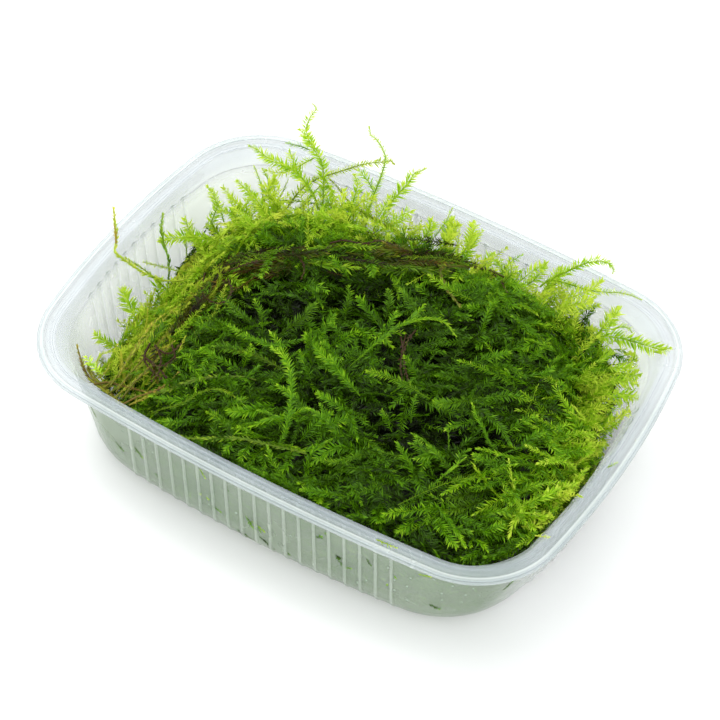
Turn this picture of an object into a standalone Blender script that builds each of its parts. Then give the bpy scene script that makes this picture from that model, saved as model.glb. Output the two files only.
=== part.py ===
"""A clump of water moss in a clear ribbed plastic tub.

Frame: metres, +Z up. The origin is the centre of the tub's flat base. X runs along the long sides.
Sizes below are in millimetres and are scaled by MM where they are used.
"""

import math
import random

import bmesh
import bpy
from mathutils import Vector
from mathutils.bvhtree import BVHTree

MM = 0.001

# Tub: outline over the rim, and heights
RIM_LENGTH = 179.0
RIM_WIDTH = 133.0
RIM_Z = 42.5
LONG_BOW = 750.0      # radius of the slightly bowed long sides
SHORT_BOW = 290.0     # radius of the bowed short sides
RIM_CORNER = 28.5
WALL = 0.8
FLOOR = WALL
WALL_TOP_IN = 7.4     # the ribbed wall starts this far in from the rim's edge
WALL_TOP_DOWN = 4.8
DRAFT = 0.075         # inward lean of the wall, per unit of height
BASE_ROUND = 8.5
# Radii of the long sides, the short sides and the corners, at the wall's top and foot
WALL_TOP_RADII = (550.0, 225.0, 26.5)
WALL_FOOT_RADII = (475.0, 105.0, 32.5)

# Rim section, from the outer edge inwards: (inward, down)
BEAD_EDGE = (0.0, 0.7)
BEAD_TOP = ((0.35, 0.0), (2.1, 0.0))
CHANNEL = ((2.5, 0.9), (4.0, 0.9))
SHOULDER = ((4.4, 0.0), (5.7, 0.0), (6.3, 0.6))

# Vertical beads on the walls
BEAD_PITCH = 5.0
LONG_BEADS = 19
SHORT_BEADS = 11
BEAD_WIDTH = 1.3
BEAD_HEIGHT = 0.45
BEAD_SINK = 0.3

# Moss
GAP = 0.5             # clear space kept between pieces that touch
MAT_HALF = (82.0, 60.0)
MAT_CELLS = (21, 15)
MAT_ROUNDING = 0.3    # how far the square grid's corners are drawn in
LUMP = 0.9            # rise or fall of the mat's surface between tufts
TUFT = (3.5, 7.5)     # shortest and longest tuft
TUFT_CLEAR = 3.2      # room left free of tufts around a loose shoot
# Where the mat ends short of the tub's walls: y at each x at the back, x at each y on the right
BACK_EDGE = (
    (-90, 16), (-75, 28), (-61, 38), (-50, 34), (-40, 32), (-29, 32), (-20, 35), (-10, 40), (0, 42),
    (10, 46), (22, 48), (34, 50), (45, 52), (56, 48), (66, 42), (80, 28),
)
RIGHT_EDGE = (
    (-58, 68), (-45, 74), (-30, 79), (3, 80), (14, 78), (18, 72), (26, 68), (30, 70), (38, 69),
    (46, 64), (52, 52), (58, 42),
)
# Hollows in the mat and its thin front left corner: x, y, radius, depth
HOLLOWS = (
    (-26, -5, 11, 9), (-9, 16, 11, 9), (18, 14, 9, 5), (39, -11, 9, 7), (26, -21, 8, 5),
    (3, -23, 7, 4), (52, -8, 7, 5), (-40, -8, 7, 3), (-60, -44, 10, 14), (16, -2, 7, 5),
)

# The mat's surface, as heights above the base chosen at points from the walls to the middle
MAT_HEIGHTS = (
    (-80, 0, 20), (-78, -22, 22), (-78, 24, 19), (-66, 45, 22), (-48, 57, 34), (-20, 58, 37),
    (10, 58, 33), (40, 57, 35), (62, 45, 34), (74, 28, 27), (80, 5, 32), (80, -22, 35),
    (70, -46, 35), (40, -57, 36), (0, -58, 36), (-30, -57, 35), (-62, -48, 30),
    (-60, -15, 34), (-48, 20, 43), (-28, 36, 50), (0, 38, 48), (28, 32, 45), (52, 18, 41),
    (-25, 0, 48), (5, 5, 47), (35, -5, 44), (60, -12, 40), (-38, -28, 42), (0, -30, 42),
    (36, -35, 40),
)

# Loose shoots: name, width over the leaves, then root, middle and tip
LEAFY_SHOOTS = (
    ("shoot_back_tall", 6.5, (-38, 28, 45), (-44, 46, 51), (-52, 55, 69)),
    ("shoot_back_left_fan", 6.5, (-44, 31, 44), (-52, 44, 48), (-67, 43, 55)),
    ("shoot_back_slim", 4.0, (-26, 29, 46), (-30, 52, 44), (-36, 63, 62)),
    ("shoot_back_brown_tip", 3.5, (-44, 30, 46), (-37, 47, 52), (-24, 62, 52)),
    ("shoot_back_right_fan", 6.0, (-22, 31, 46), (-21, 48, 50), (-14, 62, 56)),
    ("shoot_back_short", 4.5, (-28, 32, 46), (-28, 42, 51), (-31.5, 46, 58)),
    ("shoot_upper_left_a", 5.5, (-60, 25, 34), (-66, 24, 43), (-71, 24, 49)),
    ("shoot_upper_left_b", 4.5, (-48, 26, 43), (-55, 28, 48), (-63, 29, 50.5)),
    ("shoot_upper_left_c", 4.5, (-51, 31, 39), (-57, 35, 45), (-61, 36, 53)),
    ("shoot_left_long", 5.5, (-60, 18, 35), (-71, 13, 36), (-79, 9, 33)),
    ("shoot_left_short", 5.0, (-65, 17, 27), (-71, 17, 31), (-76, 18, 36.5)),
    ("shoot_left_low_a", 6.0, (-67, -21, 29), (-73, -17, 30), (-77, -14, 32)),
    ("shoot_left_low_b", 5.0, (-64, -32, 28), (-70, -33, 30), (-74, -33, 31)),
    ("shoot_right_hook", 5.0, (35, 47, 38), (44, 60, 50), (53, 64, 46)),
    ("shoot_right_long", 4.5, (37, 48, 40), (51, 54, 46), (65, 58, 44.5)),
    ("shoot_right_over_rim", 7.0, (54, 42, 36), (68, 45, 44.5), (81, 45, 45)),
    ("shoot_right_fan", 6.5, (54, 42, 35), (59, 50, 41), (61, 54, 46)),
    ("shoot_right_low_a", 6.0, (62, 36, 33), (69, 38, 34), (75, 39, 35)),
    ("shoot_right_low_b", 6.0, (66, 29, 31), (73, 30, 33), (78, 30, 35)),
    ("shoot_right_leaf", 3.5, (74, 12, 34), (77, 20, 33), (78, 26, 35)),
    ("shoot_rear_a", 5.0, (-5, 38, 46), (-3, 43, 49), (-3, 46, 53)),
    ("shoot_rear_b", 6.0, (3, 41, 45), (1, 50, 43.5), (0, 55, 47)),
    ("shoot_rear_c", 6.0, (10, 44, 42), (8, 52, 42), (6, 57, 46)),
    ("shoot_rear_d", 3.5, (25, 46, 38), (22, 50, 39.5), (18, 52, 42)),
    ("shoot_rear_e", 5.0, (29, 46, 41), (32, 50, 43), (33, 55, 46)),
    ("shoot_rear_f", 4.5, (37, 48, 37), (38, 53, 43), (38, 56, 46)),
)
# Old stems that have lost most leaves: name, thickness, then the points along them
BARE_STEMS = (
    ("stem_left_yellow_tip", 1.2, ((-58, -8, 38), (-76, -13, 41), (-85, -13, 46), (-89, -1, 51))),
    ("stem_left_upright", 1.1, ((-70, 1, 33), (-73, 5, 40), (-76, 8, 46))),
    ("stem_left_wall", 1.8, ((-50, -50, 35), (-60, -50, 34), (-67, -48, 36), (-73, -42, 37))),
    ("stem_front_left", 1.3, ((-18, -36, 47), (-36, -45, 43), (-54, -52, 37))),
    ("stem_front", 1.3, ((0, -46, 43), (-15, -53, 41), (-30, -56, 38.5))),
    ("stem_over_mat", 1.4, ((27, 44, 42), (20, 50, 47), (4, 38, 51), (2, 24, 51), (20, 23, 51))),
)
THICKNESS = 1.3       # of a leafy shoot, across its flat form
LEAF_STEP = 2.6       # length of shoot between two notches in its outline
STEP = 0.5            # how finely a loose shoot is followed towards the mat
SEED = 11


def clear_scene():
    for thing in list(bpy.data.objects):
        bpy.data.objects.remove(thing, do_unlink=True)


def collection(name):
    group = bpy.data.collections.new(name)
    bpy.context.scene.collection.children.link(group)
    return group


def finish(name, colour, roughness, metallic=0.0, alpha=1.0):
    material = bpy.data.materials.new(name)
    material.use_nodes = True
    shader = material.node_tree.nodes["Principled BSDF"]
    shader.inputs["Base Color"].default_value = (*colour, 1.0)
    shader.inputs["Roughness"].default_value = roughness
    shader.inputs["Metallic"].default_value = metallic
    shader.inputs["Alpha"].default_value = alpha
    return material


def add_object(name, mesh, group, material=None):
    thing = bpy.data.objects.new(name, mesh)
    group.objects.link(thing)
    if material:
        mesh.materials.append(material)
    return thing


def arc(centre, radius, start, end, steps):
    """Points of an arc, without its last one."""
    turn = (end - start) / steps
    angles = [start + turn * i for i in range(steps)]
    return [(centre[0] + radius * math.cos(a), centre[1] + radius * math.sin(a)) for a in angles]


def outline(length, width, long_bow, short_bow, corner):
    """A rectangle with bowed sides and round corners, anticlockwise from the middle of the +X side.

    Every arc meets the next at a tangent: the corner's centre is found from its distances to the
    centres of the two side arcs.
    """
    side = (length / 2 - short_bow, 0.0)
    end = (0.0, width / 2 - long_bow)
    from_side = short_bow - corner
    from_end = long_bow - corner
    apart = math.hypot(end[0] - side[0], end[1] - side[1])
    along = (from_side ** 2 - from_end ** 2 + apart ** 2) / (2 * apart)
    off = math.sqrt(from_side ** 2 - along ** 2)
    step = ((end[0] - side[0]) / apart, (end[1] - side[1]) / apart)
    centre = (side[0] + step[0] * along - step[1] * off, side[1] + step[1] * along + step[0] * off)
    side_turn = math.atan2(centre[1] - side[1], centre[0] - side[0])
    end_turn = math.atan2(centre[1] - end[1], centre[0] - end[0])
    quarter = arc(side, short_bow, 0.0, side_turn, 2)
    quarter += arc(centre, corner, side_turn, end_turn, 5)
    quarter += arc(end, long_bow, end_turn, math.pi / 2, 4)
    half = quarter + [(-x, y) for x, y in [(0.0, width / 2)] + quarter[:0:-1]]
    return half + [(-x, -y) for x, y in half]


def wall_shape(z):
    """Inward reach and radii of the wall's inner face at height z.

    Curvature, and not radius, changes evenly from the wall's top to its foot, so that the lines
    between the two are straight.
    """
    down = RIM_Z - WALL_TOP_DOWN - z
    share = down / (RIM_Z - WALL_TOP_DOWN - FLOOR - BASE_ROUND)
    pairs = zip(WALL_TOP_RADII, WALL_FOOT_RADII)
    return WALL_TOP_IN + DRAFT * down, [1 / ((1 - share) / a + share / b) for a, b in pairs]


def wall_ring(z, clear=0.0):
    """The inner outline of the ribbed wall at height z, drawn in by clear."""
    inward, (long_bow, short_bow, corner) = wall_shape(z)
    inset = 2 * (inward + clear)
    return outline(RIM_LENGTH - inset, RIM_WIDTH - inset, long_bow, short_bow, corner - clear)


def rim_ring(inward):
    inset = 2 * inward
    return outline(RIM_LENGTH - inset, RIM_WIDTH - inset, LONG_BOW, SHORT_BOW, RIM_CORNER - inward)


def loft(bm, rings):
    """Quads between rings of points that match one to one. Returns the rings' vertices."""
    rows = [[bm.verts.new(Vector(p) * MM) for p in ring] for ring in rings]
    for low, high in zip(rows, rows[1:]):
        for i in range(len(low)):
            j = (i + 1) % len(low)
            bm.faces.new((low[i], low[j], high[j], high[i]))
    return rows


def face_outwards(bm):
    bmesh.ops.recalc_face_normals(bm, faces=bm.faces)
    if bm.calc_volume(signed=True) < 0:
        bmesh.ops.reverse_faces(bm, faces=bm.faces)


def make_beads(group):
    """The walls' vertical beads as one cutter mesh of separate tapered prisms."""
    bm = bmesh.new()
    top = RIM_Z - WALL_TOP_DOWN - 0.6
    bottom = FLOOR + BASE_ROUND - 1.0
    for long_side, count in ((True, LONG_BEADS), (False, SHORT_BEADS)):
        for k in range(count):
            along = (k - (count - 1) / 2) * BEAD_PITCH
            for face in (-1, 1):
                make_bead(bm, along, face, long_side, bottom, top)
    mesh = bpy.data.meshes.new("wall_beads")
    bm.to_mesh(mesh)
    bm.free()
    beads = add_object("wall_beads", mesh, group)
    beads.hide_render = True
    beads.display_type = "WIRE"
    return beads


def make_bead(bm, along, face, long_side, bottom, top):
    """One bead: a box with its outer edges drawn together, set on the outside of the wall."""
    span = (RIM_WIDTH if long_side else RIM_LENGTH) / 2
    box = bmesh.ops.create_cube(bm, size=1.0)["verts"]
    for v in box:
        z = top if v.co.z > 0 else bottom
        inward, radii = wall_shape(z)
        sag = along ** 2 / (2 * (radii[0] if long_side else radii[1]))
        skin = span - inward - sag + WALL
        outer = v.co.y > 0
        across = along + v.co.x * BEAD_WIDTH * (0.45 if outer else 1.0)
        out = skin + (BEAD_HEIGHT if outer else -BEAD_SINK)
        spot = (across, face * out, z) if long_side else (face * out, across, z)
        v.co = Vector(spot) * MM
    faces = list({f for v in box for f in v.link_faces})
    bmesh.ops.recalc_face_normals(bm, faces=faces)


def make_tub(group, cutters, material):
    """The moulded tub: its inner skin is lofted, Solidify gives the wall, and beads are joined on."""
    bm = bmesh.new()
    edge = RIM_Z - WALL_TOP_DOWN
    floor_turn = FLOOR + BASE_ROUND
    rings = []
    for inward, down in (BEAD_EDGE,) + BEAD_TOP + CHANNEL + SHOULDER:
        rings.append([(x, y, RIM_Z - down) for x, y in rim_ring(inward)])
    rings.append([(x, y, edge + 0.3) for x, y in wall_ring(edge, -0.5)])
    rings.append([(x, y, edge) for x, y in wall_ring(edge)])
    rings.append([(x, y, floor_turn) for x, y in wall_ring(floor_turn)])
    for turn in (35.0, 65.0, 90.0):
        angle = math.radians(turn)
        inset = BASE_ROUND * (1 - math.cos(angle))
        z = floor_turn - BASE_ROUND * math.sin(angle)
        rings.append([(x, y, z) for x, y in wall_ring(floor_turn, inset)])
    rows = loft(bm, rings)
    bm.faces.new(rows[-1])
    bmesh.ops.recalc_face_normals(bm, faces=bm.faces)
    if bm.faces[-1].normal.z < 0:
        bmesh.ops.reverse_faces(bm, faces=bm.faces)
    mesh = bpy.data.meshes.new("tub")
    bm.to_mesh(mesh)
    bm.free()
    tub = add_object("tub", mesh, group, material)
    shell = tub.modifiers.new("wall", "SOLIDIFY")
    shell.thickness = WALL * MM
    shell.offset = -1.0
    shell.use_even_offset = True
    join = tub.modifiers.new("beads", "BOOLEAN")
    join.operation = "UNION"
    join.object = make_beads(cutters)
    return tub


def mat_height(x, y):
    """The mat's surface above the base: the chosen heights, weighted by how near they are."""
    total = 0.0
    weight = 0.0
    for px, py, pz in MAT_HEIGHTS:
        w = 1.0 / ((x - px) ** 2 + (y - py) ** 2 + 4.0) ** 1.6
        total += w * pz
        weight += w
    height = total / weight
    for px, py, reach, depth in HOLLOWS:
        height -= depth * math.exp(-((x - px) ** 2 + (y - py) ** 2) / reach ** 2)
    return height


def between(table, at):
    """Straight interpolation in a table of (place, value) rows."""
    for (a, low), (b, high) in zip(table, table[1:]):
        if at <= b:
            return low + (high - low) * max(0.0, at - a) / (b - a)
    return table[-1][1]


def left_edge(y, z):
    """Where the mat ends on the left: further from the wall the higher it is."""
    return -76.0 - 0.12 * max(0.0, y + 10.0) + 0.57 * (z - 20.0)


def margin(x, y, ring):
    """How far a point is inside a convex ring, negative outside."""
    found = []
    for (ax, ay), (bx, by) in zip(ring, ring[1:] + ring[:1]):
        along = math.hypot(bx - ax, by - ay)
        found.append(((bx - ax) * (y - ay) - (by - ay) * (x - ax)) / along)
    return min(found)


def inside_wall(point, clear):
    """A point drawn in, if need be, to stay clear of the wall and of the rim."""
    x, y, z = point
    if z > RIM_Z + clear:
        return point
    ring = wall_ring(min(z, RIM_Z - WALL_TOP_DOWN))
    while margin(x, y, ring) < clear:
        x, y = x * 0.99, y * 0.99
    return x, y, z


def mat_point(u, v, rng):
    """A point of the mat's surface from its place on a square grid, where u and v run from -1 to 1."""
    across = MAT_HALF[0] * math.sqrt(1 - MAT_ROUNDING * v * v)
    along = MAT_HALF[1] * math.sqrt(1 - MAT_ROUNDING * u * u)
    x, y = u * across, v * along
    if v > 0:
        y *= min(1.0, between(BACK_EDGE, x) / along)
    if u > 0:
        x *= min(1.0, between(RIGHT_EDGE, y) / across)
    else:
        x *= min(1.0, left_edge(y, mat_height(-across, y)) / -across)
    return inside_wall((x, y, mat_height(x, y) + rng.uniform(-LUMP, LUMP)), GAP)


def lower_rim(bm, edges, z, clear):
    """Extrudes the mat's open edge straight down to z, and keeps it clear of the wall's foot."""
    grown = bmesh.ops.extrude_edge_only(bm, edges=edges)["geom"]
    foot = wall_ring(FLOOR + BASE_ROUND)
    for vert in [g for g in grown if isinstance(g, bmesh.types.BMVert)]:
        x, y = vert.co.x / MM, vert.co.y / MM
        while margin(x, y, foot) < clear:
            x, y = x * 0.99, y * 0.99
        vert.co = Vector((x, y, z)) * MM
    return [g for g in grown if isinstance(g, bmesh.types.BMEdge)]


def loose_lines():
    """Points along the outer part of every loose shoot and stem, each with its half width."""
    spots = []
    for name, width, *points in LEAFY_SHOOTS:
        spots += [(bezier(points, i / 12), width / 2) for i in range(3, 13)]
    for name, thickness, points in BARE_STEMS:
        spots += [(bezier(points, i / 24), thickness / 2) for i in range(3, 25)]
    return spots


def make_mat(group, material):
    """The tangled mass: a grid bent over the chosen heights, with sides down to the tub's floor."""
    rng = random.Random(SEED)
    bm = bmesh.new()
    bmesh.ops.create_grid(bm, x_segments=MAT_CELLS[0], y_segments=MAT_CELLS[1], size=1.0)
    for vert in bm.verts:
        vert.co = Vector(mat_point(vert.co.x, vert.co.y, rng)) * MM
    top = list(bm.faces)
    border = [edge for edge in bm.edges if edge.is_boundary]
    border = lower_rim(bm, border, FLOOR + BASE_ROUND, GAP)
    border = lower_rim(bm, border, FLOOR + GAP, BASE_ROUND + GAP)
    bmesh.ops.holes_fill(bm, edges=border)
    face_outwards(bm)
    raise_tufts(bm, top, rng)
    mesh = bpy.data.meshes.new("moss_mat")
    bm.to_mesh(mesh)
    bm.free()
    return add_object("moss_mat", mesh, group, material)


def raise_tufts(bm, faces, rng):
    """Pokes the mat's upper faces and lifts each middle into a leaning tuft, away from shoots."""
    spots = loose_lines()
    poked = bmesh.ops.poke(bm, faces=faces)
    for vert in poked["verts"]:
        away = Vector((vert.co.x, vert.co.y, 0.0)).normalized()
        swirl = Vector((rng.uniform(-1, 1), rng.uniform(-1, 1), rng.uniform(0.1, 0.9)))
        lean = (away * 0.5 + swirl + Vector((0, 0, 0.5))).normalized()
        foot = vert.co / MM
        tip = foot + lean * rng.uniform(*TUFT)
        middle = foot.lerp(tip, 0.5)
        room = min(min((p - tip).length, (p - middle).length) - half for p, half in spots)
        if room > TUFT_CLEAR:
            vert.co = Vector(inside_wall(tuple(tip), GAP)) * MM


def bezier(points, t):
    """A smooth curve through its first and last points, drawn towards the ones between."""
    line = [Vector(p) for p in points]
    if len(line) == 3:
        line[1] = line[1] * 2 - (line[0] + line[2]) / 2
    while len(line) > 1:
        line = [a.lerp(b, t) for a, b in zip(line, line[1:])]
    return line[0]


def free_length(points, solids, half_width):
    """The share of the curve, from its root, that has to be left off to stay clear of the solids."""
    span = sum((Vector(a) - Vector(b)).length for a, b in zip(points, points[1:]))
    steps = max(int(span / STEP), 4)
    for i in range(steps, -1, -1):
        t = i / steps
        wide = half_width * min(1.0, 2.2 * (1 - t) + 0.25)
        spots = station(points, t, wide, half_width / 4) + [bezier(points, t)]
        for tree in solids:
            if any(tree.find_nearest(spot * MM, GAP * 1.4 * MM)[0] for spot in spots):
                return min((i + 1) / steps, 0.9)
    return 0.0


def station(points, t, half_width, half_thickness):
    """Four corners of a shoot's flat section at t: left, top, right, bottom."""
    here = bezier(points, t)
    ahead = (bezier(points, min(t + 0.02, 1.0)) - bezier(points, max(t - 0.02, 0.0))).normalized()
    side = ahead.cross(Vector((0.35, -0.6, 0.72))).normalized()
    top = side.cross(ahead)
    return [here - side * half_width, here + top * half_thickness,
            here + side * half_width, here - top * half_thickness]


def make_leafy_shoot(name, width, points, solids, group, material):
    """A flat, notched blade with the outline of a leafy shoot, from near the mat to its real tip."""
    start = free_length(points, solids, width / 2)
    span = sum((Vector(a) - Vector(b)).length for a, b in zip(points, points[1:])) * (1 - start)
    pairs = max(3, round(span / LEAF_STEP))
    rings = []
    for i in range(2 * pairs):
        share = i / (2 * pairs)
        t = start + (1 - start) * share
        taper = min(1.0, 0.45 + 2.0 * share, 2.2 * (1 - share) + 0.25)
        wide = 1.0 if i % 2 else 0.5
        rings.append(station(points, t, width / 2 * taper * wide, THICKNESS / 2 * taper))
    rings.append(station(points, 1.0, 0.3, 0.3))
    bm = bmesh.new()
    rows = loft(bm, rings)
    bm.faces.new(rows[0])
    bm.faces.new(rows[-1])
    face_outwards(bm)
    mesh = bpy.data.meshes.new(name)
    bm.to_mesh(mesh)
    bm.free()
    return add_object(name, mesh, group, material)


def make_stem(name, thickness, points, solids, group, material):
    """A bare stem: a six-sided tube that thins towards its tip."""
    start = free_length(points, solids, thickness / 2)
    curve = bpy.data.curves.new(name, "CURVE")
    curve.dimensions = "3D"
    curve.bevel_depth = thickness / 2 * MM
    curve.bevel_resolution = 1
    curve.use_fill_caps = True
    count = 9
    spline = curve.splines.new("POLY")
    spline.points.add(count - 1)
    for i, spot in enumerate(spline.points):
        share = i / (count - 1)
        here = bezier(points, start + (1 - start) * share) * MM
        spot.co = (*here, 1.0)
        spot.radius = 1.0 - 0.35 * share
    tube = bpy.data.objects.new(name, curve)
    group.objects.link(tube)
    bpy.context.view_layer.update()
    mesh = bpy.data.meshes.new_from_object(tube.evaluated_get(bpy.context.evaluated_depsgraph_get()))
    bpy.data.objects.remove(tube)
    bm = bmesh.new()
    bm.from_mesh(mesh)
    bmesh.ops.remove_doubles(bm, verts=bm.verts, dist=0.00002)
    face_outwards(bm)
    bm.to_mesh(mesh)
    bm.free()
    return add_object(name, mesh, group, material)


def solid_tree(thing):
    bpy.context.view_layer.update()
    return BVHTree.FromObject(thing, bpy.context.evaluated_depsgraph_get())


def main():
    clear_scene()
    parts = collection("moss_clump")
    cutters = collection("cutters")
    plastic = finish("tub_plastic", (0.80, 0.86, 0.86), 0.22, alpha=0.35)
    green = finish("moss_green", (0.06, 0.20, 0.02), 0.45)
    fresh = finish("moss_fresh", (0.28, 0.48, 0.03), 0.4)
    brown = finish("old_stem", (0.13, 0.09, 0.025), 0.5)
    tub = make_tub(parts, cutters, plastic)
    mat = make_mat(parts, green)
    solids = [solid_tree(tub), solid_tree(mat)]
    for name, thickness, points in BARE_STEMS:
        stem = make_stem(name, thickness, points, solids, parts, brown)
        solids.append(solid_tree(stem))
    for name, width, *points in LEAFY_SHOOTS:
        shoot = make_leafy_shoot(name, width, points, solids, parts, fresh)
        solids.append(solid_tree(shoot))


main()
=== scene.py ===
"""A clump of wet water moss in its clear ribbed tub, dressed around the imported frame.

Lengths are in millimetres from the centre of the tub's base, and are scaled by MM when a mesh is made.
"""

import math

import bmesh
import bpy
import numpy as np
from mathutils import Matrix, Vector


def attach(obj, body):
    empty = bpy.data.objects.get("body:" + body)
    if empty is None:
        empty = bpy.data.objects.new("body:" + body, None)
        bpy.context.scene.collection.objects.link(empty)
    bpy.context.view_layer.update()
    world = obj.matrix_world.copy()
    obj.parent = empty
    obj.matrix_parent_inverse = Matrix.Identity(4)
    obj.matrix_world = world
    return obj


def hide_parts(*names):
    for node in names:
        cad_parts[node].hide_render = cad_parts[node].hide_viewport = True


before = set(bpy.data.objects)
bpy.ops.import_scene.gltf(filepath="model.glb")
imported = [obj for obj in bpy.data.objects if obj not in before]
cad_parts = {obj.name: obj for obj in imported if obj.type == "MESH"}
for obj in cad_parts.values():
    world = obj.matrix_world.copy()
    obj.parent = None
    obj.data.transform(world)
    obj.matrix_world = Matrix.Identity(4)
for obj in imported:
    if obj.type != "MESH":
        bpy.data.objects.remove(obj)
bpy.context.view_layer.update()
MM = 0.001
BODY = "root"
SEED = 41
rng = np.random.default_rng(SEED)

# Tub
RIM_LENGTH = 179.0
RIM_WIDTH = 133.0
RIM_Z = 42.5
LONG_BOW = 750.0
SHORT_BOW = 290.0
RIM_CORNER = 28.5
WALL = 0.8
WALL_TOP_IN = 7.4
WALL_TOP_DOWN = 4.8
DRAFT = 0.075
BASE_ROUND = 8.5
WALL_TOP_RADII = (550.0, 225.0, 26.5)
WALL_FOOT_RADII = (475.0, 105.0, 32.5)
# Rim section from the outer edge inwards: (inward, down)
RIM_SECTION = (
    (0.0, 1.1), (0.02, 0.7), (0.14, 0.3), (0.38, 0.06), (0.75, 0.0), (1.7, 0.0), (2.05, 0.06),
    (2.28, 0.28), (2.4, 0.62), (2.58, 0.86), (2.85, 0.92), (3.7, 0.92), (3.95, 0.84), (4.1, 0.6),
    (4.22, 0.25), (4.42, 0.05), (4.8, 0.0), (5.4, 0.0), (5.8, 0.08), (6.1, 0.32), (6.3, 0.8),
)
BEAD_PITCH = 5.0
BEADS = {"long": 19, "short": 11}
BEAD_PROFILE = ((-0.5, 0.0), (-0.24, 0.8), (0.0, 1.0), (0.24, 0.8), (0.5, 0.0))
BEAD_HEIGHT = 0.42
ARC_STEPS = 60
BEND_STEPS = 22
# How white the painted highlight on the tops of the beads is
BEAD_HIGHLIGHT = 0.52
# Painted highlight lines along the rim: number of the point of its section, and how white
RIM_HIGHLIGHTS = {0: 0.6, 1: 0.3, 4: 0.2, 5: 0.75, 6: 0.3}
# Painted shade as grey lines along the rim's channel and where the wall starts, the same way
RIM_GROOVE_SHADE = {9: 0.9, 10: 0.5, 25: 0.6, 26: 0.9}
WALL_TOP_Z = RIM_Z - WALL_TOP_DOWN
FOOT_Z = WALL + BASE_ROUND
# The steep step from the rim to the wall: share of the way in, and height
STEP_RINGS = ((0.2, 41.2), (0.45, 40.4), (0.75, 39.2), (1.0, 38.15))
# How far outside the wall the step's foot and the wall's top edge lie
STEP_OUT = 0.45
TOP_OUT = 0.1
# Heights of the wall's rings, degrees round the base edge with the share of the bead that is left
# there, and sizes of the rings in the floor
WALL_HEIGHTS = (34.0, 30.0, 25.0, 20.0, 15.0, 12.0)
FOOT_RINGS = ((12, 1.0), (24, 0.95), (36, 0.8), (48, 0.45), (58, 0.0), (68, 0.0), (79, 0.0), (90, 0.0))
FLOOR_SHARES = (0.97, 0.9, 0.75, 0.5)
SHARP_ANGLE = 40
# How far the right wall is drawn in, and where that sets in: along the tub, from the front corner
# backwards, and below the rim
RIGHT_DRAW = 1.7
DRAW_ALONG = (20.0, 76.0)
DRAW_BEHIND = (-58.0, -28.0)
DRAW_BELOW = (2.5, 9.0)

# Moss
MAT_HALF = (82.0, 60.0)
MAT_ROUNDING = 0.3
MAT_HEIGHTS = np.array((
    (-80, 0, 20), (-78, -22, 22), (-78, 24, 19), (-66, 45, 22), (-48, 57, 34), (-20, 58, 37),
    (10, 58, 33), (40, 57, 35), (62, 45, 34), (74, 28, 27), (80, 5, 32), (80, -22, 35),
    (70, -46, 35), (40, -57, 36), (0, -58, 36), (-30, -57, 35), (-62, -48, 30),
    (-60, -15, 34), (-48, 20, 43), (-28, 36, 50), (0, 38, 48), (28, 32, 45), (52, 18, 41),
    (-25, 0, 48), (5, 5, 47), (35, -5, 44), (60, -12, 40), (-38, -28, 42), (0, -30, 42),
    (36, -35, 40),
), float)
# Hollows between the shoots and the two thin corners, which the mat's layers also darken as painted
# shade: x, y, radius, depth
HOLLOWS = (
    (-26, -5, 11, 9), (-9, 16, 11, 9), (18, 14, 9, 5), (39, -11, 9, 7), (26, -21, 8, 5),
    (3, -23, 7, 4), (52, -8, 7, 5), (-40, -8, 7, 3), (-60, -44, 10, 14), (16, -2, 7, 5),
    (-38, 8, 9, 6), (2, 22, 9, 6),
)
# Where the dense moss ends at the back, as y at each x, and on the left and right, as x at each y. The
# left edge holds at EDGE_LEVEL, and lies further in by EDGE_SLOPE the higher it is
EDGE_LEVEL = 20.0
EDGE_SLOPE = 0.57
BACK_EDGE = np.array((
    (-90, 16), (-75, 28), (-61, 38), (-50, 34), (-40, 32), (-29, 32), (-20, 35), (-10, 40), (0, 42),
    (10, 46), (22, 48), (34, 50), (45, 52), (56, 48), (66, 42), (80, 28),
), float)
LEFT_EDGE = np.array((
    (-58, -50), (-50, -56), (-47, -60), (-43, -62), (-37, -64.5), (-30, -70), (-22, -70.5), (-13, -68),
    (0, -69.5), (20, -76), (40, -80.5),
), float)
RIGHT_EDGE = np.array((
    (-58, 68), (-45, 74), (-30, 79), (3, 80), (13, 78), (17, 70), (20, 66), (26, 65), (31, 69), (38, 69),
    (46, 64), (52, 52), (58, 42),
), float)

# Leafy shoots that stand clear, in the order in which they are made
LEAFY_SHOOTS = (
    "shoot_back_tall", "shoot_back_left_fan", "shoot_back_slim", "shoot_back_brown_tip",
    "shoot_back_right_fan", "shoot_back_short", "shoot_upper_left_a", "shoot_upper_left_b",
    "shoot_upper_left_c", "shoot_left_long", "shoot_left_short", "shoot_left_low_a", "shoot_left_low_b",
    "shoot_right_hook", "shoot_right_long", "shoot_right_over_rim", "shoot_right_fan",
    "shoot_right_low_a", "shoot_right_low_b", "shoot_right_leaf", "shoot_rear_a", "shoot_rear_b",
    "shoot_rear_c", "shoot_rear_d", "shoot_rear_e", "shoot_rear_f",
)
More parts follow.
